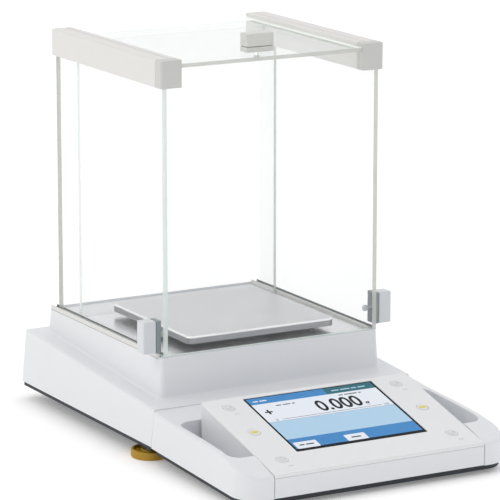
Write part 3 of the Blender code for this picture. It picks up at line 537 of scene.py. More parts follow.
def carve(bm: BMesh, cutters: Sequence[BMesh]) -> BMesh:
    """Cut shapes out of a mesh.

    Args:
        bm: Mesh to cut; it is used up.
        cutters: Closed meshes; they are used up.

    Returns:
        The resulting mesh.
    """
    body = solid_object(bm)
    tools = [solid_object(cutter) for cutter in cutters]
    for tool in tools:
        modifier = body.modifiers.new("cut", "BOOLEAN")
        modifier.operation = "DIFFERENCE"
        modifier.object = tool
        modifier.solver = "MANIFOLD"
    bpy.context.view_layer.update()
    evaluated = body.evaluated_get(bpy.context.evaluated_depsgraph_get())
    result = bmesh.new()
    result.from_mesh(evaluated.to_mesh())
    evaluated.to_mesh_clear()
    for obj in [body, *tools]:
        mesh = obj.data
        bpy.data.objects.remove(obj)
        bpy.data.meshes.remove(mesh)
    bmesh.ops.dissolve_degenerate(result, edges=result.edges, dist=1e-6)
    return result


def from_frame(node: str) -> BMesh:
    """Copy a frame node's mesh, merged and with its flat faces whole.

    Args:
        node: Name of the node.

    Returns:
        A clean copy.
    """
    bm = bmesh.new()
    bm.from_mesh(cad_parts[node].data)
    bmesh.ops.remove_doubles(bm, verts=bm.verts, dist=2e-6)
    bmesh.ops.dissolve_limit(bm, angle_limit=math.radians(0.6), verts=bm.verts, edges=bm.edges,
                             use_dissolve_boundaries=False)
    return bm


def publish(name: str, bm: BMesh, finish: Finishes | Sequence[Finishes], body: str,
            replaces: Sequence[str] = (), smooth: float = 34.0) -> bpy.types.Object:
    """Make a finished piece that rides on a body.

    Args:
        name: Name of the piece.
        bm: Its mesh, in place; it is used up.
        finish: Its finish, or one for each material index.
        body: Body that it moves with.
        replaces: Frame nodes that it stands for.
        smooth: Angle in degrees up to which faces are shaded as one.

    Returns:
        The new object.
    """
    mesh = bpy.data.meshes.new(name)
    bm.to_mesh(mesh)
    bm.free()
    for each in ([finish] if isinstance(finish, Finishes) else finish):
        mesh.materials.append(each.mat)
    mesh.shade_smooth()
    mesh.set_sharp_from_angle(angle=math.radians(smooth))
    obj = bpy.data.objects.new(name, mesh)
    bpy.context.scene.collection.objects.link(obj)
    normals = obj.modifiers.new("flat faces", "WEIGHTED_NORMAL")
    normals.keep_sharp = True
    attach(obj, body)
    if replaces:
        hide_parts(*replaces)
    LOG.info("%s: %d faces on %s", name, len(mesh.polygons), body)
    return obj


def mirrored(side: int, inner: float, outer: float) -> Range:
    """Return an x range on the left (-1) or right (+1)."""
    low, high = sorted((side * inner, side * outer))
    return (low, high)


# --------------------------------------------------------------------------
# Housing
# --------------------------------------------------------------------------

@dataclass
class LowerHousing:
    """Sloping lower housing with its tray, connectors and spirit level."""

    wall: float = 3.0 * MM
    side_lean: float = 2.85 * MM
    rear_lean: float = 2.8 * MM
    front_height: float = 31.2 * MM
    corner: float = 2.5 * MM
    brow: float = 1.8 * MM
    hem: float = 0.6 * MM
    window_z: Range = (20.0 * MM, 48.0 * MM)
    window_half: float = 70.0 * MM
    window_y: Range = (190.0 * MM, 210.0 * MM)
    well_half: float = 85.0 * MM
    well_y: Range = (-8.0 * MM, 170.0 * MM)
    well_z: Range = (35.0 * MM, 75.0 * MM)
    cup_floor: float = 40.0 * MM
    rib_half: float = 78.0 * MM
    rib_middle: float = 75.0 * MM
    rib_pitch: float = 20.0 * MM
    groove_half: float = 1.5 * MM
    groove_depth: float = 0.9 * MM
    screw_x: float = 64.0 * MM
    screw_z: Range = (25.0 * MM, 43.0 * MM)
    mark: Range = (1.9 * MM, 2.2 * MM)
    low: Vector = field(default_factory=lambda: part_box("base_shell")[0])
    high: Vector = field(default_factory=lambda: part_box("base_shell")[1])

    def ledge(self, y: float) -> float:
        """Height of the sloping top at y."""
        rear = self.high.y - self.rear_lean
        rise = self.high.z - self.low.z - self.front_height
        return self.low.z + self.front_height + rise * (y - self.low.y) / (rear - self.low.y)

    def hollow(self) -> BMesh:
        """Build the space inside the shell, open at the bottom."""
        half = self.high.x - self.wall
        ys = (self.low.y + self.wall, self.high.y - self.wall)
        bm = sloped_block((-half, half), ys, lambda y: self.low.z - self.wall,
                          lambda y: self.ledge(y) - self.wall)
        for vert in bm.verts:
            if vert.co.z > self.low.z:
                vert.co.x -= math.copysign(self.side_lean, vert.co.x)
                if vert.co.y > 0:
                    vert.co.y -= self.rear_lean
                    vert.co.z = self.ledge(self.high.y - self.rear_lean) - self.wall
        return bm

    def ring(self, share: float, inset: float, rise: float, from_top: bool) -> list[Vector]:
        """Trace the housing at one height.

        Args:
            share: How far up the lean the ring lies, 0 to 1.
            inset: Further distance inwards.
            rise: Height over the underside, or over the ledge when from_top is set.
            from_top: Whether the ring follows the sloping ledge.

        Returns:
            The ring's points.
        """
        half = self.high.x - self.side_lean * share - inset
        rear = self.high.y - self.rear_lean * share - inset
        ring = outline((-half, half), (self.low.y, rear), 0.0, self.corner)
        for point in ring:
            point.z = (self.ledge(point.y) if from_top else self.low.z) + rise
        return ring

    def shell(self) -> None:
        """Make the white lower shell."""
        hem = [(inset, rise) for inset, rise in arc(self.hem, 2)][::-1]
        rings = [self.ring(0.0, inset, self.hem - rise, False) for inset, rise in hem]
        rings += [self.ring(1.0, inset, rise - self.brow, True)
                  for inset, rise in arc(self.brow, 6)]
        bm = loft(rings)
        well = block((-self.well_half, self.well_half), self.well_y, self.well_z)
        lo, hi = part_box("level_housing")
        cup = cylinder((lo + hi) / 2, (hi.x - lo.x) / 2 + 0.3 * MM,
                       (self.cup_floor, self.well_z[1]))
        window = block((-self.window_half, self.window_half), self.window_y, self.window_z)
        bm = carve(bm, [self.hollow(), well, cup, window])
        publish("lower_housing", bm, Finishes.HOUSING, "root", ["base_shell"])

    def tray(self) -> None:
        """Make the dark tray with moulded ribs across its underside."""
        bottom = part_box("bottom_tray")[0].z
        grooves = []
        for step in range(-4, 5):
            y = self.rib_middle + step * self.rib_pitch
            groove = block((-self.rib_half, self.rib_half),
                           (y - self.groove_half, y + self.groove_half),
                           (bottom - 1 * MM, bottom + self.groove_depth))
            grooves.append(round_edges(groove, upright, 1.4 * MM, 4))
        bm = carve(from_frame("bottom_tray"), grooves)
        publish("housing_tray", bm, Finishes.TRAY, "root", ["bottom_tray"])

    def connectors(self) -> None:
        """Make the connector panel, its sockets and its four screws."""
        publish("connector_panel", from_frame("rear_panel"), Finishes.TRAY, "root",
                ["rear_panel"])
        lo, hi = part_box("data_port")
        bm = carve(from_frame("data_port"), [
            block((lo.x - 1 * MM, lo.x), (lo.y, lo.y + 1 * MM), (lo.z, hi.z))])
        publish("data_socket", break_edges(bm, 0.15 * MM), Finishes.STEEL, "root",
                ["data_port"])
        mid = (lo + hi) / 2
        tongue = block((mid.x - 5 * MM, mid.x + 5 * MM), (hi.y - 10.5 * MM, hi.y - 1.5 * MM),
                       (mid.z - 0.9 * MM, mid.z + 0.9 * MM))
        publish("data_socket_tongue", break_edges(tongue, 0.2 * MM), Finishes.WHEEL, "root")
        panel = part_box("rear_panel")[1].y
        face = Matrix.Translation((0, panel, 0)) @ Matrix.Rotation(-math.pi / 2, 4, "X")
        profile = [(0.0, 0.5 * MM), (0.5 * MM, 0.5 * MM), (0.5 * MM, 1.1 * MM),
                   (1.9 * MM, 0.9 * MM), (2.6 * MM, 0.3 * MM), (2.6 * MM, 0.05 * MM),
                   (0.0, 0.05 * MM)]
        spots = [(x, 0, z) for x in (-self.screw_x, self.screw_x) for z in self.screw_z]
        for index, spot in enumerate(spots, 1):
            at = Matrix.Translation(spot) @ face
            publish(f"panel_screw_{index}", move(turned(profile, 32), at), Finishes.STEEL,
                    "root")

    def level(self) -> None:
        """Make the spirit level: cup, oil window, ring and bubble."""
        lo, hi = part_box("level_housing")
        radius = (hi.x - lo.x) / 2
        at = foot_point("level_housing")
        centre = at.translation
        low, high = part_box("level_vial")
        vial, top = (high.x - low.x) / 2, high.z
        bore = vial + 0.3 * MM
        seat = low.z - 0.3 * MM
        profile = [(0.0, seat), (bore, seat), (bore, hi.z - 0.3 * MM),
                   (bore + 0.3 * MM, hi.z), (radius - 0.5 * MM, hi.z),
                   (radius, hi.z - 0.5 * MM), (radius, lo.z), (0.0, lo.z)]
        publish("level_cup", move(turned(profile), at), Finishes.TRAY, "root",
                ["level_housing"])
        inner, outer = self.mark
        face, print_top = top - 0.1 * MM, top - 0.02 * MM
        profile = [(0.0, face), (inner, face), (inner, print_top), (outer, print_top),
                   (outer, face), (vial - 0.5 * MM, face), (vial, top - 0.5 * MM),
                   (vial, low.z), (0.0, low.z)]
        bm = move(turned(profile), at)
        for each in bm.faces:
            spot = each.calc_center_median() - centre
            ring = inner < math.hypot(spot.x, spot.y) < outer
            each.material_index = int(ring and spot.z > top - 0.2 * MM)
        publish("level_window", bm, [Finishes.OIL, Finishes.TRAY], "root",
                ["level_vial"])
        bubble = [(0.0, 0.3 * MM), (0.6 * MM, 0.26 * MM), (1.1 * MM, 0.12 * MM),
                  (1.3 * MM, -0.05 * MM), (0.0, -0.05 * MM)]
        lift = Matrix.Translation(centre + Vector((0.4 * MM, 0.2 * MM, face)))
        publish("level_bubble", move(turned(bubble, 32), lift), Finishes.BUBBLE, "root")

    def build(self) -> None:
        """Make the whole lower housing."""
        self.shell()
        self.tray()
        self.connectors()
        self.level()


@dataclass
class UpperHousing:
    """Plinth under the weighing chamber, with a cove where it meets the ledge."""

    base: LowerHousing
    wall: float = 3.0 * MM
    draft: float = 1.8 * MM
    corner: float = 3.0 * MM
    cove: float = 3.0 * MM
    edge: float = 1.0 * MM
    deck: float = 80.6 * MM
    rim_front: float = -18.7 * MM
    rim_rear: float = 184.0 * MM
    hole_radius: float = 14.0 * MM
    hole_z: Range = (70.0 * MM, 90.0 * MM)
    high: Vector = field(default_factory=lambda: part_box("plinth_cover")[1])
    low: Vector = field(default_factory=lambda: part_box("plinth_cover")[0])

    def hollow(self) -> BMesh:
        """Build the space inside the plinth, open at the bottom."""
        half = self.high.x - self.wall
        ys = (self.low.y + self.wall, self.high.y - self.wall)
        top = self.deck - self.wall
        bm = sloped_block((-half, half), ys, lambda y: self.base.ledge(y) - 4 * MM,
                          lambda y: top)
        for vert in bm.verts:
            if vert.co.z > top - MM:
                vert.co.x -= math.copysign(self.draft, vert.co.x)
                vert.co.y -= math.copysign(self.draft, vert.co.y)
        return bm

    def ring(self, outset: float, rise: float, from_top: bool) -> list[Vector]:
        """Trace the plinth at one height.

        Args:
            outset: Distance outwards from the plinth at its top.
            rise: Height over the ledge, or over the plinth's top when from_top is set.
            from_top: Whether the ring is level instead of following the ledge.

        Returns:
            The ring's points.
        """
        half = self.high.x - self.draft + outset
        y = (self.low.y + self.draft - outset, self.high.y - self.draft + outset)
        ring = outline((-half, half), y, self.corner + outset, self.corner + outset, 10)
        for point in ring:
            point.z = (self.high.z if from_top else self.base.ledge(point.y)) + rise
        return ring

    def shell(self) -> None:
        """Make the plinth with its cove, rim, deck and receptor hole."""
        rings = [self.ring(self.draft + self.cove, -0.15 * MM, False)]
        rings += [self.ring(self.draft + self.cove - rise, inset, False)
                  for inset, rise in arc(self.cove, 8)]
        rings += [self.ring(-inset, rise - self.edge, True)
                  for inset, rise in arc(self.edge, 4)]
        bm = loft(rings)
        wide = self.high.x + 5 * MM
        recess = block((-wide, wide), (self.rim_front, self.rim_rear),
                       (self.deck, self.high.z + 5 * MM))
        hole = cylinder(foot_point("weighing_pan").translation, self.hole_radius,
                        self.hole_z)
        bm = carve(bm, [self.hollow(), recess, hole])
        publish("upper_housing", bm, Finishes.HOUSING, "root", ["plinth_cover"])

    def build(self) -> None:
        """Make the whole upper housing."""
        self.shell()


# --------------------------------------------------------------------------
# Draft shield
# --------------------------------------------------------------------------

@dataclass
class DraftShield:
    """Glass panes, guides, rails, caps and the three sliding covers."""

    arris: float = 0.35 * MM
    knurls: int = 24
    knurl_depth: float = 0.2 * MM
    cap_corner: float = 2.5 * MM
    play: float = 0.3 * MM
    reach: float = 5.0 * MM
    line: Range = (6.4 * MM, 7.4 * MM)
    line_depth: float = 0.7 * MM
    screw_radius: float = 1.5 * MM
    screw_head: float = 3.6 * MM

    def pane(self, node: str, name: str, body: str, thin: int,
             clear: Sequence[Vector] = (), shaded: Sequence[Vector] = (),
             lit: Sequence[Vector] = ()) -> None:
        """Make one pane with ground edges.

        Args:
            node: Frame node that it stands for.
            name: Name of the pane.
            body: Body that it moves with.
            thin: Axis of its thickness.
            clear: Directions of edges that are as clear as the faces.
            shaded: Directions of edges that get the greyer copy, painted shade.
            lit: Directions of edges that glow with painted light, standing for light carried
                along the glass.
        """
        kinds = ((clear, 0), (shaded, 2), (lit, 3))
        bm = break_edges(from_frame(node), self.arris)
        for face in bm.faces:
            if abs(face.normal[thin]) > 0.95:
                continue
            face.material_index = 1
            for ways, index in kinds:
                if any(face.normal.dot(way) > 0.3 for way in ways):
                    face.material_index = index
        publish(name, bm, [Finishes.GLASS, Finishes.GLASS_EDGE, Finishes.GLASS_SHADED_EDGE,
                           Finishes.GLASS_LIT_EDGE], body, [node])

    def floor(self) -> None:
        """Make the floor plate with its edges and hole broken."""
        bm = break_edges(from_frame("chamber_floor"), 0.2 * MM)
        publish("floor_plate", bm, Finishes.FLOOR_PLATE, "root", ["chamber_floor"])

    def guide(self, name: str) -> None:
        """Make a lower door guide with painted shade in its groove."""
        node = f"{name}_door_guide"
        lo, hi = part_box(node)
        bm = from_frame(node)
        # Painted shade on the groove's inner faces
        for face in bm.faces:
            spot = face.calc_center_median()
            inside = lo.x + 0.2 * MM < spot.x < hi.x - 0.2 * MM
            below = lo.z + 0.1 * MM < spot.z < hi.z - 0.1 * MM
            face.material_index = int(inside and below and abs(face.normal.y) < 0.5)
        break_edges(bm, 0.2 * MM)
        publish(f"{name}_guide", bm, [Finishes.RAIL, Finishes.GROOVE_SHADE], "root", [node])

    def grooves(self, name: str, side: int, node: str, door_y: Range,
                cover_y: Range) -> list[BMesh]:
        """Build the cutters of a rail's or cap's two grooves.

        Args:
            name: left or right.
            side: -1 or 1.
            node: Frame node that is cut.
            door_y: Length of the door's groove.
            cover_y: Length of the top cover's groove.

        Returns:
            The cutter of the door's groove and that of the cover's.
        """
        lo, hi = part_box(node)
        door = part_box(f"{name}_door_glass")
        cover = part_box("top_cover_glass")
        inner = min(abs(lo.x), abs(hi.x))
        return [
            block((door[0].x - self.play, door[1].x + self.play), door_y,
                  (lo.z - self.reach, door[1].z + self.play)),
            block(mirrored(side, inner - self.reach, cover[1].x + self.play), cover_y,
                  (cover[0].z - self.play, cover[1].z + self.play)),
        ]

    def rail(self, name: str, side: int) -> None:
        """Make a top rail with its two grooves and a drawn line along its top.

        Args:
            name: left or right.
            side: -1 or 1.
        """
        node = f"{name}_rail"
        lo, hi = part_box(node)
        bm = block_over(node)
        round_edges(bm, lambda a, b: a.z > hi.z - MM and abs(b.y - a.y) > 0.1, 1.2 * MM, 5)
        round_edges(bm, lambda a, b: b.z < lo.z + MM and abs(b.y - a.y) > 0.1, 0.5 * MM, 3)
        whole = (lo.y - self.reach, hi.y + self.reach)
        inner = min(abs(lo.x), abs(hi.x))
        slots = self.grooves(name, side, node, whole, whole)
        slots.append(block(mirrored(side, inner + self.line[0], inner + self.line[1]), whole,
                           (hi.z - self.line_depth, hi.z + self.reach)))
        publish(f"{name}_top_rail", carve(bm, slots), Finishes.RAIL, "root", [node])

    def cap(self, name: str, side: int) -> None:
        """Make a rail's front end cap.

        Args:
            name: left or right.
            side: -1 or 1.
        """
        node = f"{name}_rail_cap"
        lo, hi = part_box(node)
        bm = block_over(node)
        round_edges(bm, lambda a, b: upright(a, b) and a.y < hi.y - MM, self.cap_corner, 8)
        round_edges(bm, lambda a, b: a.z > hi.z - 0.1 * MM and min(a.y, b.y) < hi.y - MM,
                    0.9 * MM, 4)
        round_edges(bm, lambda a, b: b.z < lo.z + 0.1 * MM and min(a.y, b.y) < hi.y - MM,
                    0.5 * MM, 3)
        stops = [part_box(glass)[0].y - 0.4 * MM
                 for glass in (f"{name}_door_glass", "top_cover_glass")]
        slots = self.grooves(name, side, node, (stops[0], 0.0), (stops[1], 0.0))
        publish(f"{name}_end_cap", carve(bm, slots), Finishes.CAP, "root", [node])

    def handle(self, prefix: str, body: str, aim: Matrix, grip: Finishes,
               pad: Finishes) -> None:
        """Make a handle: block, spacer and knurled thumb screw.

        Args:
            prefix: Start of the frame nodes' names.
            body: Body that it moves with.
            aim: Place of the screw, its head below z = 0.
            grip: Finish of the block and screw.
            pad: Finish of the spacer.
        """
        bm = break_edges(block_over(f"{prefix}_handle"), 1.0 * MM, 4)
        publish(f"{prefix}_grip", bm, grip, body, [f"{prefix}_handle"])
        bm = break_edges(block_over(f"{prefix}_spacer"), 0.4 * MM, 3)
        publish(f"{prefix}_pad", bm, pad, body, [f"{prefix}_spacer"])
        lo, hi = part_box(f"{prefix}_screw")
        screw, top, head = self.screw_radius, self.screw_head, min(hi - lo) / 2
        tip = max(hi - lo) - top
        profile = [(0.0, tip), (screw, tip), (screw, -0.3 * MM), (head - 0.3 * MM, -0.3 * MM),
                   (head, -0.6 * MM), (head, 0.8 * MM - top), (head - 0.4 * MM, 0.2 * MM - top),
                   (head - 0.9 * MM, -top), (0.9 * MM, -top), (0.6 * MM, 0.4 * MM - top),
                   (0.0, 0.4 * MM - top)]
        bm = knurl(turned(profile, self.knurls * 2), head - 0.1 * MM, self.knurls,
                   self.knurl_depth)
        publish(f"{prefix}_thumb_screw", move(bm, aim), grip, body,
                [f"{prefix}_screw"], 50.0)

    def build(self) -> None:
        """Make the whole draft shield."""
        right, left = Vector((1, 0, 0)), Vector((-1, 0, 0))
        back, up = Vector((0, 1, 0)), Vector((0, 0, 1))
        self.floor()
        # Pane edges by direction: clear as the faces, greyer with painted shade, or glowing with
        # painted light
        self.pane("front_pane", "front_glass", "root", 1, clear=[right, up])
        self.pane("rear_pane", "rear_glass", "root", 1, clear=[up], shaded=[right])
        self.pane("top_cover_glass", "cover_glass", "top_cover", 2, clear=[back],
                  shaded=[-back], lit=[left, right])
        lo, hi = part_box("top_cover_screw")
        spot = Vector(((lo.x + hi.x) / 2, (lo.y + hi.y) / 2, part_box("top_cover_glass")[0].z))
        self.handle("top_cover", "top_cover", Matrix.Translation(spot),
                    Finishes.COVER_HANDLE, Finishes.COVER_HANDLE)
        for name, side in SIDES:
            self.guide(name)
            self.rail(name, side)
            self.cap(name, side)
            self.pane(f"{name}_door_glass", f"{name}_sliding_glass", f"{name}_door", 0,
                      clear=[back] if side > 0 else [], shaded=[back] if side < 0 else [-back])
            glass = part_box(f"{name}_door_glass")
            lo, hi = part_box(f"{name}_door_screw")
            inner = glass[1].x if side < 0 else glass[0].x
            turn = Matrix.Rotation(side * math.pi / 2, 4, "Y")
            spot = Vector((inner, (lo.y + hi.y) / 2, (lo.z + hi.z) / 2))
            self.handle(f"{name}_door", f"{name}_door", Matrix.Translation(spot) @ turn,
                        Finishes.HANDLE, Finishes.SPACER)


# --------------------------------------------------------------------------
# Weighing pan
# --------------------------------------------------------------------------

@dataclass
class WeighingPan:
    """Square stainless pan with a rolled, polished rim."""

    sheet: float = 1.5 * MM
    corner: float = 5.0 * MM
    roll: float = 1.6 * MM

    def build(self) -> None:
        """Make the pan, with a painted highlight on its rim and painted shade on its skirt and
        underside.
        """
        lo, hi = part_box("weighing_pan")
        bm = block_over("weighing_pan")
        round_edges(bm, upright, self.corner, 12)
        round_edges(bm, lambda a, b: a.z > hi.z - 0.1 * MM, self.roll, 7)
        t = self.sheet
        hollow = block((lo.x + t, hi.x - t), (lo.y + t, hi.y - t), (lo.z - 2 * MM, hi.z - t))
        round_edges(hollow, upright, self.corner - t, 12)
        round_edges(hollow, lambda a, b: a.z > hi.z - t - 0.1 * MM, self.roll - 0.9 * MM, 4)
        bm = carve(bm, [hollow])
        middle = (lo + hi) / 2
        # Painted highlight on the rolled rim; painted shade on the skirt, the underside and the
        # inner faces
        for face in bm.faces:
            spot = face.calc_center_median()
            if face.normal.z < -0.5 or face.normal.dot(middle - spot) > 0.0:
                face.material_index = 3
            elif face.normal.z < 0.2:
                face.material_index = 2
            elif spot.z < hi.z - 0.01 * MM:
                face.material_index = 1
        publish("brushed_pan", bm, [Finishes.PAN, Finishes.PAN_RIM, Finishes.PAN_SKIRT,
                                    Finishes.PAN_UNDER], "pan",
                ["weighing_pan"])


# --------------------------------------------------------------------------
# Control unit
# --------------------------------------------------------------------------

@dataclass
class ControlUnit:
    """Carrier with finger pockets, and the tilting display that lies in it."""

    crest: Sequence[tuple[float, float]] = (
        (-45.3 * MM, 45.4 * MM), (-50.6 * MM, 44.0 * MM), (-81.7 * MM, 41.6 * MM),
        (-124.0 * MM, 39.6 * MM), (-152.0 * MM, 37.6 * MM), (-175.0 * MM, 34.0 * MM),
        (-201.0 * MM, 26.0 * MM),
    )
    under_rear: float = 14.4 * MM
    under_front: float = 7.8 * MM
    floor: float = 2.5 * MM
    lean: float = 0.09
    corner: float = 22.0 * MM
    brow: float = 2.2 * MM
    wall: float = 3.0 * MM
    hollow_half: float = 118.0 * MM
    hollow_front: float = -190.0 * MM
    tray_inset: float = 2.8 * MM
    tray_thick: float = 4.3 * MM
    gap: float = 0.3 * MM
    bay_half: float = 97.7 * MM
    bay_rear: float = -77.8 * MM
    bay_end: float = -186.5 * MM
    pocket_outer: float = 117.0 * MM
    pocket_y: Range = (-167.5 * MM, -75.6 * MM)
    pocket_corner: float = 10.0 * MM
    slope_rear: float = 57.7 * MM
    slope_front: float = 27.4 * MM
    bezel: float = 2.9 * MM
    lip: float = 13.3 * MM
    seam: float = 0.35 * MM
    screen_half: float = 61.0 * MM
    screen_span: Range = (5.5 * MM, 97.5 * MM)
    low: Vector = field(default_factory=lambda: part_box("control_carrier")[0])
    high: Vector = field(default_factory=lambda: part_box("control_carrier")[1])
    face: tuple[Vector, Vector] = field(default_factory=lambda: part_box("display_bezel"))

    @property
    def tilt(self) -> float:
        """Slope of the display's face."""
        return math.atan2(self.slope_rear - self.slope_front, self.face[1].y - self.low.y)

    @property
    def slope(self) -> Matrix:
        """Frame on the display's face: origin at its rear edge, y up the slope."""
        at = Matrix.Translation((0.0, self.face[1].y, self.slope_rear))
        return at @ Matrix.Rotation(self.tilt, 4, "X")

    def under(self, y: float) -> float:
        """Height of the carrier's underside at y."""
        share = (y - self.high.y) / (self.low.y - self.high.y)
        return self.under_rear + share * (self.under_front - self.under_rear)

    def arm_top(self, y: float) -> float:
        """Height of an arm's top at y."""
        for (y0, z0), (y1, z1) in zip(self.crest, self.crest[1:]):
            if y >= y1:
                return z0 + (y - y0) / (y1 - y0) * (z1 - z0)
        return self.crest[-1][1]

    def slope_top(self, y: float) -> float:
        """Height of the display's face at y."""
        return self.slope_rear + (y - self.face[1].y) * math.tan(self.tilt)

    def carrier_form(self, inset: float, bottom: Callable[[float], float],
                     top: Callable[[float], float]) -> BMesh:
        """Build the carrier's outline with leaning sides and rounded front corners.

        Args:
            inset: Distance inwards from the outer faces.
            bottom: Height of the underside at y.
            top: Height of the top at y.

        Returns:
            The closed mesh.
        """
        front, rear = self.low.y + inset, self.high.y - inset
        ys = [front, rear] + [y for y, _ in self.crest if front + MM < y < rear - MM]
        half = self.high.x - inset
        bm = sloped_block((-half, half), ys, bottom, top)
        for vert in bm.verts:
            shift = max(0.0, vert.co.z - self.under_rear) * self.lean
            vert.co.x -= math.copysign(shift, vert.co.x)
        round_edges(bm, lambda lo, hi: upright(lo, hi) and lo.y < front + MM,
                    self.corner - inset, 16, clamp=False)
        return bm

    def carrier(self) -> None:
        """Make the white carrier with its bay and finger pockets."""
        bm = self.carrier_form(0.0, self.under, self.arm_top)
        rim = [edge for edge in sharp_edges(bm, 40.0)
               if min(vert.co.z for vert in edge.verts) > 20 * MM
               and min(vert.co.y for vert in edge.verts) < self.high.y - MM]
        bevel(bm, rim, self.brow, 5)
        tall = 80 * MM
        ahead = self.low.y - 10 * MM
        cutters = [
            sloped_block((-self.bay_half, self.bay_half), (ahead, self.bay_rear),
                         lambda y: self.under(y) + self.floor, lambda y: tall),
            block((-self.bay_half, self.bay_half), (ahead, self.bay_end), (0.0, tall)),
            sloped_block((-self.hollow_half, self.hollow_half),
                         (self.bay_rear + self.wall, self.high.y - self.wall),
                         lambda y: 0.0, lambda y: self.arm_top(y) - self.wall),
        ]
        for _, side in SIDES:
            x = mirrored(side, self.bay_half - 12 * MM, self.pocket_outer)
            pocket = sloped_block(x, self.pocket_y,
                                  lambda y: self.under(y) + self.floor + 0.5 * MM,
                                  lambda y: tall)
            round_edges(pocket, lambda lo, hi: upright(lo, hi) and abs(lo.x) > self.bay_half,
                        self.pocket_corner, 10)
            round_edges(pocket, lambda lo, hi: hi.z < 30 * MM and abs(lo.x) > self.bay_half,
                        3 * MM, 5)
            cutters.append(pocket)
            x = mirrored(side, self.bay_half + self.wall, self.hollow_half)
            cutters.append(sloped_block(x, (self.hollow_front, self.pocket_y[0] - self.wall),
                                        lambda y: 0.0, lambda y: self.arm_top(y) - self.wall))
        bm = carve(bm, cutters)
        bmesh.ops.remove_doubles(bm, verts=bm.verts, dist=1e-6)
        edges = []
        for edge in sharp_edges(bm, 50.0):
            ends = [vert.co for vert in edge.verts]
            on_top = all(abs(end.z - self.arm_top(end.y)) < 0.05 * MM for end in ends)
            in_pocket = all(self.bay_half - MM < abs(end.x) < self.pocket_outer + 0.1 * MM
                            and self.pocket_y[0] - 0.1 * MM < end.y < self.pocket_y[1] + 0.1 * MM
                            for end in ends)
            if on_top and in_pocket:
                edges.append(edge)
        publish("display_carrier", bevel(bm, edges, 0.9 * MM, 3), Finishes.HOUSING, "root",
                ["control_carrier"])

    def tray(self) -> None:
        """Make the dark tray under the carrier."""
        bm = self.carrier_form(self.tray_inset,
                               lambda y: self.under(y) - self.gap - self.tray_thick,
                               lambda y: self.under(y) - self.gap)
        round_edges(bm, lambda lo, hi: hi.z < 11 * MM and hi.z - lo.z < 0.5 * MM
                    and hi.z < self.under(hi.y) - 3 * MM, 0.8 * MM, 3)
        publish("carrier_underside", bm, Finishes.TRAY, "root", ["carrier_tray"])

    def display_form(self, bottom: Callable[[float], float],
                     top: Callable[[float], float]) -> BMesh:
        """Build a wedge over the display's outline."""
        half = self.face[1].x - self.seam
        bm = sloped_block((-half, half), (self.low.y, self.face[1].y), bottom, top)
        return round_edges(bm, lambda lo, hi: upright(lo, hi) and lo.y > -100 * MM,
                           3 * MM, 6)

    def housing(self) -> None:
        """Make the display's lower housing."""
        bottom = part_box("display_housing")[0].z
        bm = self.display_form(lambda y: bottom,
                               lambda y: self.slope_top(y) - self.bezel - self.gap)
        round_edges(bm, lambda lo, hi: hi.z < bottom + 0.1 * MM and hi.y < -190 * MM,
                    1.0 * MM, 3)
        wide = self.bay_half + 5 * MM
        foot = sloped_block((-wide, wide), (self.low.y + self.lip, -60 * MM), lambda y: 0.0,
                            lambda y: self.under(y) + self.floor + self.gap)
        publish("wedge_housing", carve(bm, [foot]), Finishes.HOUSING, "display",
                ["display_housing"])

    def top_plate(self) -> None:
        """Make the bezel with its screen window and key holes."""
        bm = self.display_form(lambda y: self.slope_top(y) - self.bezel, self.slope_top)
        edges = [edge for edge in sharp_edges(bm)
                 if all(abs(vert.co.z - self.slope_top(vert.co.y)) < 0.05 * MM
                        for vert in edge.verts)]
        bevel(bm, edges, 0.9 * MM, 4)
        near, far = self.screen_span
        deep = (-15 * MM, 10 * MM)
        window = block((-self.screen_half, self.screen_half), (-far, -near), deep)
        round_edges(window, upright, 0.8 * MM, 4)
        cutters = [move(window, self.slope)]
        for key in KEYS:
            hole = cylinder(Vector((key.x, key.y)), key.radius + self.gap, deep)
            cutters.append(move(hole, self.slope))
        publish("wedge_top_plate", carve(bm, cutters), Finishes.BEZEL, "display",
                ["display_bezel"])

    def build(self) -> None:
        """Make the carrier and the display."""
        self.carrier()
        self.tray()
        self.housing()
        self.top_plate()
        for key in KEYS:
            key.build(self.slope)
        ScreenPicture(self.screen_half, self.screen_span).build(self.slope)


class Symbol(Enum):
    """What is printed on a key."""

    RING = "ring"
    POWER = "power"
    LENS = "lens"


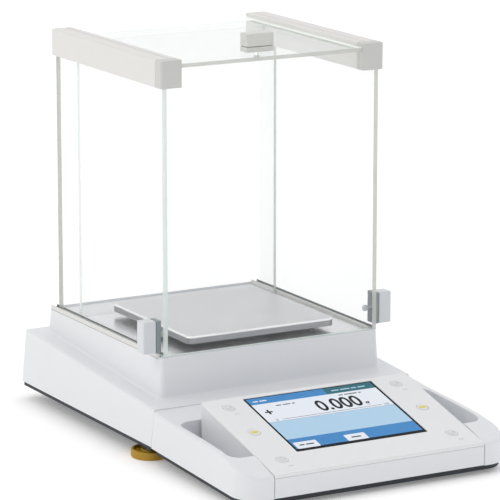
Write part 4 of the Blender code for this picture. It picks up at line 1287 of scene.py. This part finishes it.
@dataclass
class Key:
    """One round key and its printed symbol, in the frame on the display's face."""

    name: str
    x: float
    y: float
    symbol: Symbol
    radius: float = 5.0 * MM
    proud: float = 0.3 * MM
    height: float = 5.3 * MM

    def ink(self, outer: float, inner: float, sweep: float = math.tau,
            start: float = 0.0) -> BMesh:
        """Build a thin printed arc.

        Args:
            outer: Outer radius.
            inner: Inner radius.
            sweep: Angle that it covers.
            start: Angle where it starts.

        Returns:
            The mesh, on the key's top.
        """
        bm = bmesh.new()
        z = (self.proud - 0.1 * MM, self.proud + 0.02 * MM)
        corners = [bm.verts.new((radius, 0.0, height)) for radius, height in
                   ((inner, z[0]), (outer, z[0]), (outer, z[1]), (inner, z[1]))]
        section = bm.faces.new(corners)
        bmesh.ops.rotate(bm, cent=(0, 0, 0), matrix=Matrix.Rotation(start, 3, "Z"),
                         verts=bm.verts)
        closed = sweep > math.tau - 0.01
        if not closed:
            bmesh.ops.duplicate(bm, geom=[section])
        bmesh.ops.spin(bm, geom=[section], cent=(0, 0, 0), axis=(0, 0, 1), dvec=(0, 0, 0),
                       angle=sweep, steps=max(8, int(48 * sweep / math.tau)))
        if closed:
            ends = [face for face in bm.faces if abs(face.normal.z) < 0.5
                    and face.calc_center_median().normalized().cross(face.normal).length > 0.9]
            bmesh.ops.delete(bm, geom=ends, context="FACES_ONLY")
        bmesh.ops.remove_doubles(bm, verts=bm.verts, dist=1e-7)
        bmesh.ops.recalc_face_normals(bm, faces=bm.faces)
        return bm

    def build(self, slope: Matrix) -> None:
        """Make the key's cap and its print.

        Args:
            slope: The frame on the display's face.
        """
        at = slope @ Matrix.Translation((self.x, self.y, 0.0))
        top = self.proud
        r = self.radius
        profile = [(0.0, top - 0.12 * MM), (r * 0.55, top - 0.08 * MM), (r * 0.85, top),
                   (r - 0.25 * MM, top), (r, top - 0.25 * MM), (r, top - self.height),
                   (0.0, top - self.height)]
        cap = move(turned(profile), at)
        publish(f"{self.name}_cap", cap, Finishes.BEZEL, self.name, [self.name])
        shapes = []
        if self.symbol is Symbol.LENS:
            lens = bmesh.new()
            bmesh.ops.create_cone(lens, cap_ends=True, segments=40, radius1=1.0, radius2=1.0,
                                  depth=1.0)
            size = Matrix.Diagonal((3.9 * MM, 2.1 * MM, 0.1 * MM, 1.0))
            shapes.append((move(lens, Matrix.Translation((0, 0, top - 0.03 * MM)) @ size),
                           Finishes.INK_YELLOW, "lens"))
            shapes.append((self.ink(4.5 * MM, 4.15 * MM), Finishes.INK_FAINT, "ring"))
        else:
            shapes.append((self.ink(3.7 * MM, 3.25 * MM), Finishes.INK_GREY, "ring"))
            shapes.append((self.ink(2.1 * MM, 1.65 * MM, math.radians(290),
                                    math.radians(125)), Finishes.INK_GREY, "sign"))
            bar = block((-0.25 * MM, 0.25 * MM), (0.3 * MM, 2.5 * MM),
                        (top - 0.14 * MM, top + 0.02 * MM))
            if self.symbol is Symbol.RING:
                move(bar, Matrix.Rotation(math.radians(-60), 4, "Z"))
            shapes.append((bar, Finishes.INK_GREY, "bar"))
            tag = block((-0.2 * MM, 4.6 * MM), (-11.9 * MM, -10.7 * MM),
                        (-0.05 * MM, 0.03 * MM))
            round_edges(tag, upright, 0.5 * MM, 4)
            publish(f"{self.name}_tag", move(tag, at), Finishes.INK_FAINT, "display")
        for bm, ink, label in shapes:
            publish(f"{self.name}_{label}", move(bm, at), ink, self.name)


KEY_COLUMN = 79.0 * MM
KEY_ROWS = {"top": 16.0 * MM, "middle": 59.0 * MM, "bottom": 105.0 * MM}
KEY_SYMBOLS = {"left_middle": Symbol.LENS, "right_middle": Symbol.LENS,
               "left_bottom": Symbol.POWER}
KEYS = [Key(f"key_{name}_{row}", side * KEY_COLUMN, -down,
            KEY_SYMBOLS.get(f"{name}_{row}", Symbol.RING))
        for name, side in SIDES for row, down in KEY_ROWS.items()]


@dataclass
class ScreenPicture:
    """The touch screen and what it shows, in the frame on the display's face."""

    half: float
    span: Range
    surface: float = -0.3 * MM
    sheet: float = 0.03 * MM
    thick: float = 7.1 * MM
    gap: float = 0.3 * MM
    border: float = 2.2 * MM
    head: float = 1.3 * MM
    foot: float = 4.6 * MM
    title: float = 17.0 * MM
    split: float = 13.0 * MM
    reading: float = 47.3 * MM
    list_top: float = 47.6 * MM
    buttons: float = 77.0 * MM
    bar_half: float = 0.8 * MM
    space: float = 1.4

    def area(self, x: Range, down: Range, layer: int, corner: float = 0.0) -> BMesh:
        """Build a thin lit area.

        Args:
            x: Width range.
            down: Range of distances down the slope.
            layer: How many sheets lie under it.
            corner: Radius of its corners.

        Returns:
            The mesh, on the screen.
        """
        z = self.surface + layer * self.sheet
        bm = block(x, (-down[1], -down[0]), (z, z + self.sheet))
        if corner:
            round_edges(bm, upright, corner, 4)
        return bm

    def text(self, words: str, size: float, x: float, down: float, layer: int,
             stretch: float = 1.0, weight: float = 0.0) -> BMesh:
        """Build flat lettering.

        Args:
            words: The characters.
            size: Height of the type.
            x: Left edge.
            down: Distance of the base line down the slope.
            layer: How many sheets lie under it.
            stretch: Width against the normal width.
            weight: How much the strokes are thickened.

        Returns:
            The mesh, on the screen.
        """
        curve = bpy.data.curves.new("lettering", "FONT")
        curve.body = words
        curve.size = size
        curve.offset = weight
        curve.extrude = self.sheet / 2
        obj = bpy.data.objects.new("lettering", curve)
        bpy.context.scene.collection.objects.link(obj)
        bpy.context.view_layer.update()
        mesh = bpy.data.meshes.new_from_object(
            obj.evaluated_get(bpy.context.evaluated_depsgraph_get()))
        bm = bmesh.new()
        bm.from_mesh(mesh)
        bmesh.ops.remove_doubles(bm, verts=bm.verts, dist=1e-7)
        bpy.data.objects.remove(obj)
        bpy.data.curves.remove(curve)
        bpy.data.meshes.remove(mesh)
        z = self.surface + (layer + 0.5) * self.sheet
        at = Matrix.Translation((x, -down, z)) @ Matrix.Diagonal((stretch, 1.0, 1.0, 1.0))
        return move(bm, at)

    def caption(self, x: float, down: float, words: Sequence[float], layer: int) -> list[BMesh]:
        """Build a line of plain bars in place of small print.

        Args:
            x: Left end of the line.
            down: Middle of the line, down the slope.
            words: Lengths of the bars in millimetres.
            layer: How many sheets lie under it.

        Returns:
            One mesh for each bar.
        """
        bars = []
        for word in words:
            bars.append(self.area((x, x + word * MM),
                                  (down - self.bar_half, down + self.bar_half), layer,
                                  0.5 * MM))
            x += (word + self.space) * MM
        return bars

    def build(self, slope: Matrix) -> None:
        """Make the cover glass and the picture on it.

        Args:
            slope: The frame on the display's face.
        """
        near, far = self.span
        gap = self.gap
        glass = block((-self.half + gap, self.half - gap), (-far + gap, -near - gap),
                      (self.surface - self.thick, self.surface))
        round_edges(glass, upright, 0.6 * MM, 4)
        publish("touch_panel", move(glass, slope), Finishes.SCREEN, "display",
                ["touch_screen"])
        left, right = -self.half + self.border, self.half - self.border
        top, end = near + self.head, far - self.foot
        picture = {
            Finishes.LIT_BLUE: [
                self.area((left, self.split), (top, self.title), 1),
                self.area((left, right), (self.buttons, end), 1)],
            Finishes.LIT_TEAL: [self.area((self.split, right), (top, self.title), 1)],
            Finishes.LIT_WHITE: [
                self.area((left, right), (self.title, self.reading), 1),
                self.area((left + 1.5 * MM, -36.5 * MM), (83 * MM, end + 0.4 * MM), 2, 1 * MM),
                self.area((-10.5 * MM, 8.5 * MM), (83 * MM, end), 2, 1 * MM),
                *self.caption(-55 * MM, 12.2 * MM, (5, 6.5), 2)],
            Finishes.LIT_SKY: [
                self.area((left, right), (self.list_top, self.buttons), 1),
                *self.caption(19 * MM, 12.2 * MM, (7, 9, 5, 7), 2)],
            Finishes.LIT_GREY: [
                *self.caption(-39 * MM, 22.6 * MM, (5, 7, 3), 2),
                *self.caption(21 * MM, 20.8 * MM, (4, 12, 2.5), 2),
                self.area((-45 * MM, 48 * MM), (44.7 * MM, 45.3 * MM), 2),
                self.area((left, right), (self.reading, self.list_top), 1),
                self.text("0", 4.5 * MM, -51 * MM, 46.4 * MM, 2),
                self.text("100", 4.5 * MM, 50 * MM, 46.4 * MM, 2, 0.8)],
            Finishes.LIT_BLACK: [
                self.text("0.000", 24 * MM, -6.6 * MM, 41.2 * MM, 2, 0.78, 0.45 * MM),
                self.text("g", 8.5 * MM, 36.6 * MM, 41.0 * MM, 2, 1.0, 0.25 * MM),
                self.area((-53.6 * MM, -46.6 * MM), (30.1 * MM, 31.9 * MM), 2),
                self.area((-51 * MM, -49.2 * MM), (27.2 * MM, 34.8 * MM), 2),
                *self.caption(-53.5 * MM, 88 * MM, (4.5, 7.5), 3),
                *self.caption(-5.5 * MM, 88 * MM, (9,), 3)],
        }
        for finish, shapes in picture.items():
            whole = bmesh.new()
            for shape in shapes:
                mesh = bpy.data.meshes.new("area")
                shape.to_mesh(mesh)
                shape.free()
                whole.from_mesh(mesh)
                bpy.data.meshes.remove(mesh)
            publish(f"picture_{finish.name.lower()}", move(whole, slope), finish, "display")


# --------------------------------------------------------------------------
# Feet
# --------------------------------------------------------------------------

@dataclass
class Feet:
    """Levelling wheels and screws, rubber feet and front pads."""

    ridges: int = 60
    ridge_depth: float = 0.35 * MM
    pitch: float = 1.0 * MM
    thread_depth: float = 0.55 * MM
    thread_end: float = 8.5 * MM
    bore: float = 4.8 * MM

    def wheel(self, name: str) -> None:
        """Make a dished levelling wheel with a ridged rim and its threaded stem."""
        node = f"{name}_level_wheel"
        lo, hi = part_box(node)
        radius = (hi.x - lo.x) / 2
        bore, top = self.bore, hi.z
        profile = [(bore, top - 0.3 * MM), (bore + 0.3 * MM, top), (7.6 * MM, top),
                   (8.0 * MM, top - 0.4 * MM), (8.4 * MM, top - 1.6 * MM),
                   (13.4 * MM, top - 1.6 * MM), (13.9 * MM, top - 0.4 * MM),
                   (14.4 * MM, top), (radius - 1.1 * MM, top),
                   (radius - 0.3 * MM, top - 0.4 * MM), (radius, top - 1.2 * MM),
                   (radius, 1.2 * MM), (radius - 0.4 * MM, 0.4 * MM),
                   (radius - 1.2 * MM, 0.0), (bore + 0.3 * MM, 0.0), (bore, 0.3 * MM),
                   (bore, top - 0.3 * MM)]
        bm = knurl(turned(profile, self.ridges * 2), radius - 0.1 * MM, self.ridges,
                   self.ridge_depth)
        at = foot_point(node)
        publish(f"{name}_wheel", move(bm, at), Finishes.WHEEL, node, [node], 50.0)
        node = f"{name}_level_stem"
        lo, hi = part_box(node)
        radius = (hi.x - lo.x) / 2
        profile = [(0.0, hi.z), (radius - 1 * MM, hi.z)]
        height = hi.z - 0.8 * MM
        while height > self.thread_end:
            profile += [(radius, height),
                        (radius - self.thread_depth, height - self.pitch / 2)]
            height -= self.pitch
        profile += [(radius, height), (radius, lo.z), (0.0, lo.z)]
        publish(f"{name}_levelling_screw", move(turned(profile, 40), at), Finishes.STEEL,
                node, [node])

    def rubber(self) -> None:
        """Make the rear feet and the front pads."""
        for name, _ in SIDES:
            node = f"rear_{name}_foot"
            lo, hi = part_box(node)
            r = (hi.x - lo.x) / 2
            profile = [(0.0, hi.z), (r - 1 * MM, hi.z), (r - 0.3 * MM, hi.z - 0.3 * MM),
                       (r, hi.z - 1 * MM), (r - 0.8 * MM, 5 * MM), (r - 1.5 * MM, 1 * MM),
                       (r - 1.9 * MM, 0.3 * MM), (r - 2.5 * MM, 0.0), (6.4 * MM, 0.0),
                       (6.0 * MM, 0.7 * MM), (5.0 * MM, 0.7 * MM), (4.6 * MM, 0.0), (0.0, 0.0)]
            publish(f"rubber_{node}", move(turned(profile), foot_point(node)),
                    Finishes.RUBBER, "root", [node])
            node = f"front_{name}_pad"
            lo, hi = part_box(node)
            r = (hi.x - lo.x) / 2
            profile = [(0.0, hi.z), (r - 0.3 * MM, hi.z), (r, hi.z - 0.3 * MM), (r, 0.8 * MM),
                       (r - 0.25 * MM, 0.25 * MM), (r - 0.8 * MM, 0.0), (0.0, 0.0)]
            publish(f"rubber_{node}", move(turned(profile), foot_point(node)),
                    Finishes.RUBBER, "root", [node])

    def build(self) -> None:
        """Make every foot."""
        for name, _ in SIDES:
            self.wheel(name)
        self.rubber()


# --------------------------------------------------------------------------
# Studio
# --------------------------------------------------------------------------

@dataclass
class Studio:
    """Pale floor, soft light and the camera."""

    floor_radius: float = 9.0
    camera_at: Vector = Vector((-1.3323, -2.3717, 0.7595))
    yaw: float = 29.193
    pitch: float = 12.473
    lens: float = 240.18
    fill: float = 0.9
    dimming: float = 0.62
    floor_glow: Range = (0.2, 0.27)
    glow_from: Range = (0.3, 1.2)
    light_side: float = 1.8
    light_aim: Vector = Vector((0.0, 0.0, 0.12))

    def floor(self) -> None:
        """Lay a wide, matt, pale floor that brightens away from the part."""
        mat = bpy.data.materials.new("pale_studio_floor")
        mat.use_nodes = True
        tree = mat.node_tree
        shader = tree.nodes["Principled BSDF"]
        shader.inputs["Roughness"].default_value = 0.9
        shader.inputs["Specular IOR Level"].default_value = 0.1
        place = add_node(tree, "ShaderNodeTexCoord").outputs["Object"]
        drift = add_node(tree, "ShaderNodeTexNoise", {"Scale": 1.5}, {"Vector": place})
        colour = add_node(tree, "ShaderNodeMix",
                          {"data_type": "RGBA", 6: linear("#F4F4F4"), 7: linear("#F7F7F7")},
                          {0: drift.outputs["Fac"]})
        tree.links.new(colour.outputs[2], shader.inputs["Base Color"])
        shader.inputs["Emission Color"].default_value = linear("#FFFFFF")
        away = add_node(tree, "ShaderNodeVectorMath", {"operation": "LENGTH"}, {0: place})
        glow = add_node(tree, "ShaderNodeMapRange",
                        {"From Min": self.glow_from[0], "From Max": self.glow_from[1],
                         "To Min": self.floor_glow[0], "To Max": self.floor_glow[1]},
                        {"Value": away.outputs["Value"]})
        tree.links.new(glow.outputs["Result"], shader.inputs["Emission Strength"])
        bm = bmesh.new()
        bmesh.ops.create_circle(bm, cap_ends=True, segments=96, radius=self.floor_radius)
        mesh = bpy.data.meshes.new("studio_floor")
        bm.to_mesh(mesh)
        bm.free()
        mesh.materials.append(mat)
        obj = bpy.data.objects.new("studio_floor", mesh)
        bpy.context.scene.collection.objects.link(obj)

    def light(self, name: str, at: Sequence[float], watts: float, colour: str) -> None:
        """Hang a square soft light that faces the part.

        Args:
            name: Name of the light.
            at: Its place.
            watts: Its power.
            colour: Its colour as "#RRGGBB".
        """
        data = bpy.data.lights.new(name, "AREA")
        data.size = self.light_side
        data.energy = watts
        data.color = linear(colour)[:3]
        obj = bpy.data.objects.new(name, data)
        obj.location = at
        turn = (self.light_aim - Vector(at)).to_track_quat("-Z", "Y")
        obj.rotation_euler = turn.to_euler()
        bpy.context.scene.collection.objects.link(obj)

    def sky(self) -> None:
        """Surround the part with white whose near side lights it more dimly.

        The dim side is fixed in the room. The surround shows and mirrors as plain white.
        """
        world = bpy.data.worlds.new("white_surround")
        world.use_nodes = True
        tree = world.node_tree
        back = tree.nodes["Background"]
        back.inputs["Color"].default_value = linear("#FCFCFD")
        yaw = math.radians(self.yaw)
        nearer = (-math.sin(yaw), -math.cos(yaw), 0.0)
        ray = add_node(tree, "ShaderNodeTexCoord").outputs["Generated"]
        dot = add_node(tree, "ShaderNodeVectorMath",
                       {"operation": "DOT_PRODUCT", 1: nearer}, {0: ray})
        dim = add_node(tree, "ShaderNodeMapRange",
                       {"From Min": 0.2, "From Max": 1.0, "To Min": self.fill,
                        "To Max": self.fill * self.dimming}, {"Value": dot.outputs["Value"]})
        path = add_node(tree, "ShaderNodeLightPath")
        seen = add_node(tree, "ShaderNodeMath", {"operation": "MAXIMUM"},
                        {0: path.outputs["Is Camera Ray"], 1: path.outputs["Is Glossy Ray"]})
        strength = add_node(tree, "ShaderNodeMix", {3: 1.0},
                            {0: seen.outputs["Value"], 2: dim.outputs["Result"]})
        tree.links.new(strength.outputs[0], back.inputs["Strength"])
        bpy.context.scene.world = world

    def camera(self) -> None:
        """Place the camera."""
        data = bpy.data.cameras.new("camera")
        data.lens = self.lens
        data.sensor_width = 36.0
        data.clip_end = 50.0
        obj = bpy.data.objects.new("camera", data)
        obj.location = self.camera_at
        obj.rotation_euler = (math.radians(90 - self.pitch), 0.0, math.radians(-self.yaw))
        bpy.context.scene.collection.objects.link(obj)
        bpy.context.scene.camera = obj

    def build(self) -> None:
        """Set up the studio."""
        bpy.context.scene.view_settings.view_transform = "Standard"
        self.floor()
        self.sky()
        self.light("key_light", (-1.9, 0.2, 1.9), 10.5, "#FFF9F1")
        self.light("top_light", (0.2, 0.5, 2.4), 4.0, "#FFFFFF")
        self.camera()


# --------------------------------------------------------------------------
# Finishes on the frame's own nodes, and the order of work
# --------------------------------------------------------------------------

NODE_FINISHES = {
    "power_socket": Finishes.STEEL,
    "weigh_cell_frame": Finishes.ALUMINIUM,
    "coil_magnet": Finishes.STEEL,
    "load_receptor": Finishes.STEEL,
    "calibration_motor": Finishes.TRAY,
    "calibration_weight": Finishes.BRASS,
    "main_board": Finishes.BOARD,
    "display_board": Finishes.BOARD,
    "pan_support": Finishes.ALUMINIUM,
    "left_hinge_pin": Finishes.STEEL,
    "right_hinge_pin": Finishes.STEEL,
}


def dress_frame() -> None:
    """Give each frame node that stays in view its finish."""
    for node, finish in NODE_FINISHES.items():
        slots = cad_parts[node].material_slots
        for index in range(len(slots)):
            slots[index].material = finish.mat
        LOG.info("%s: %s", node, finish.name)


def main() -> None:
    """Build the balance and the studio in order."""
    logging.basicConfig(level=logging.INFO, format="%(name)s: %(message)s")
    Studio().build()
    base = LowerHousing()
    base.build()
    UpperHousing(base).build()
    DraftShield().build()
    WeighingPan().build()
    ControlUnit().build()
    Feet().build()
    dress_frame()


if __name__ == "__main__":
    main()
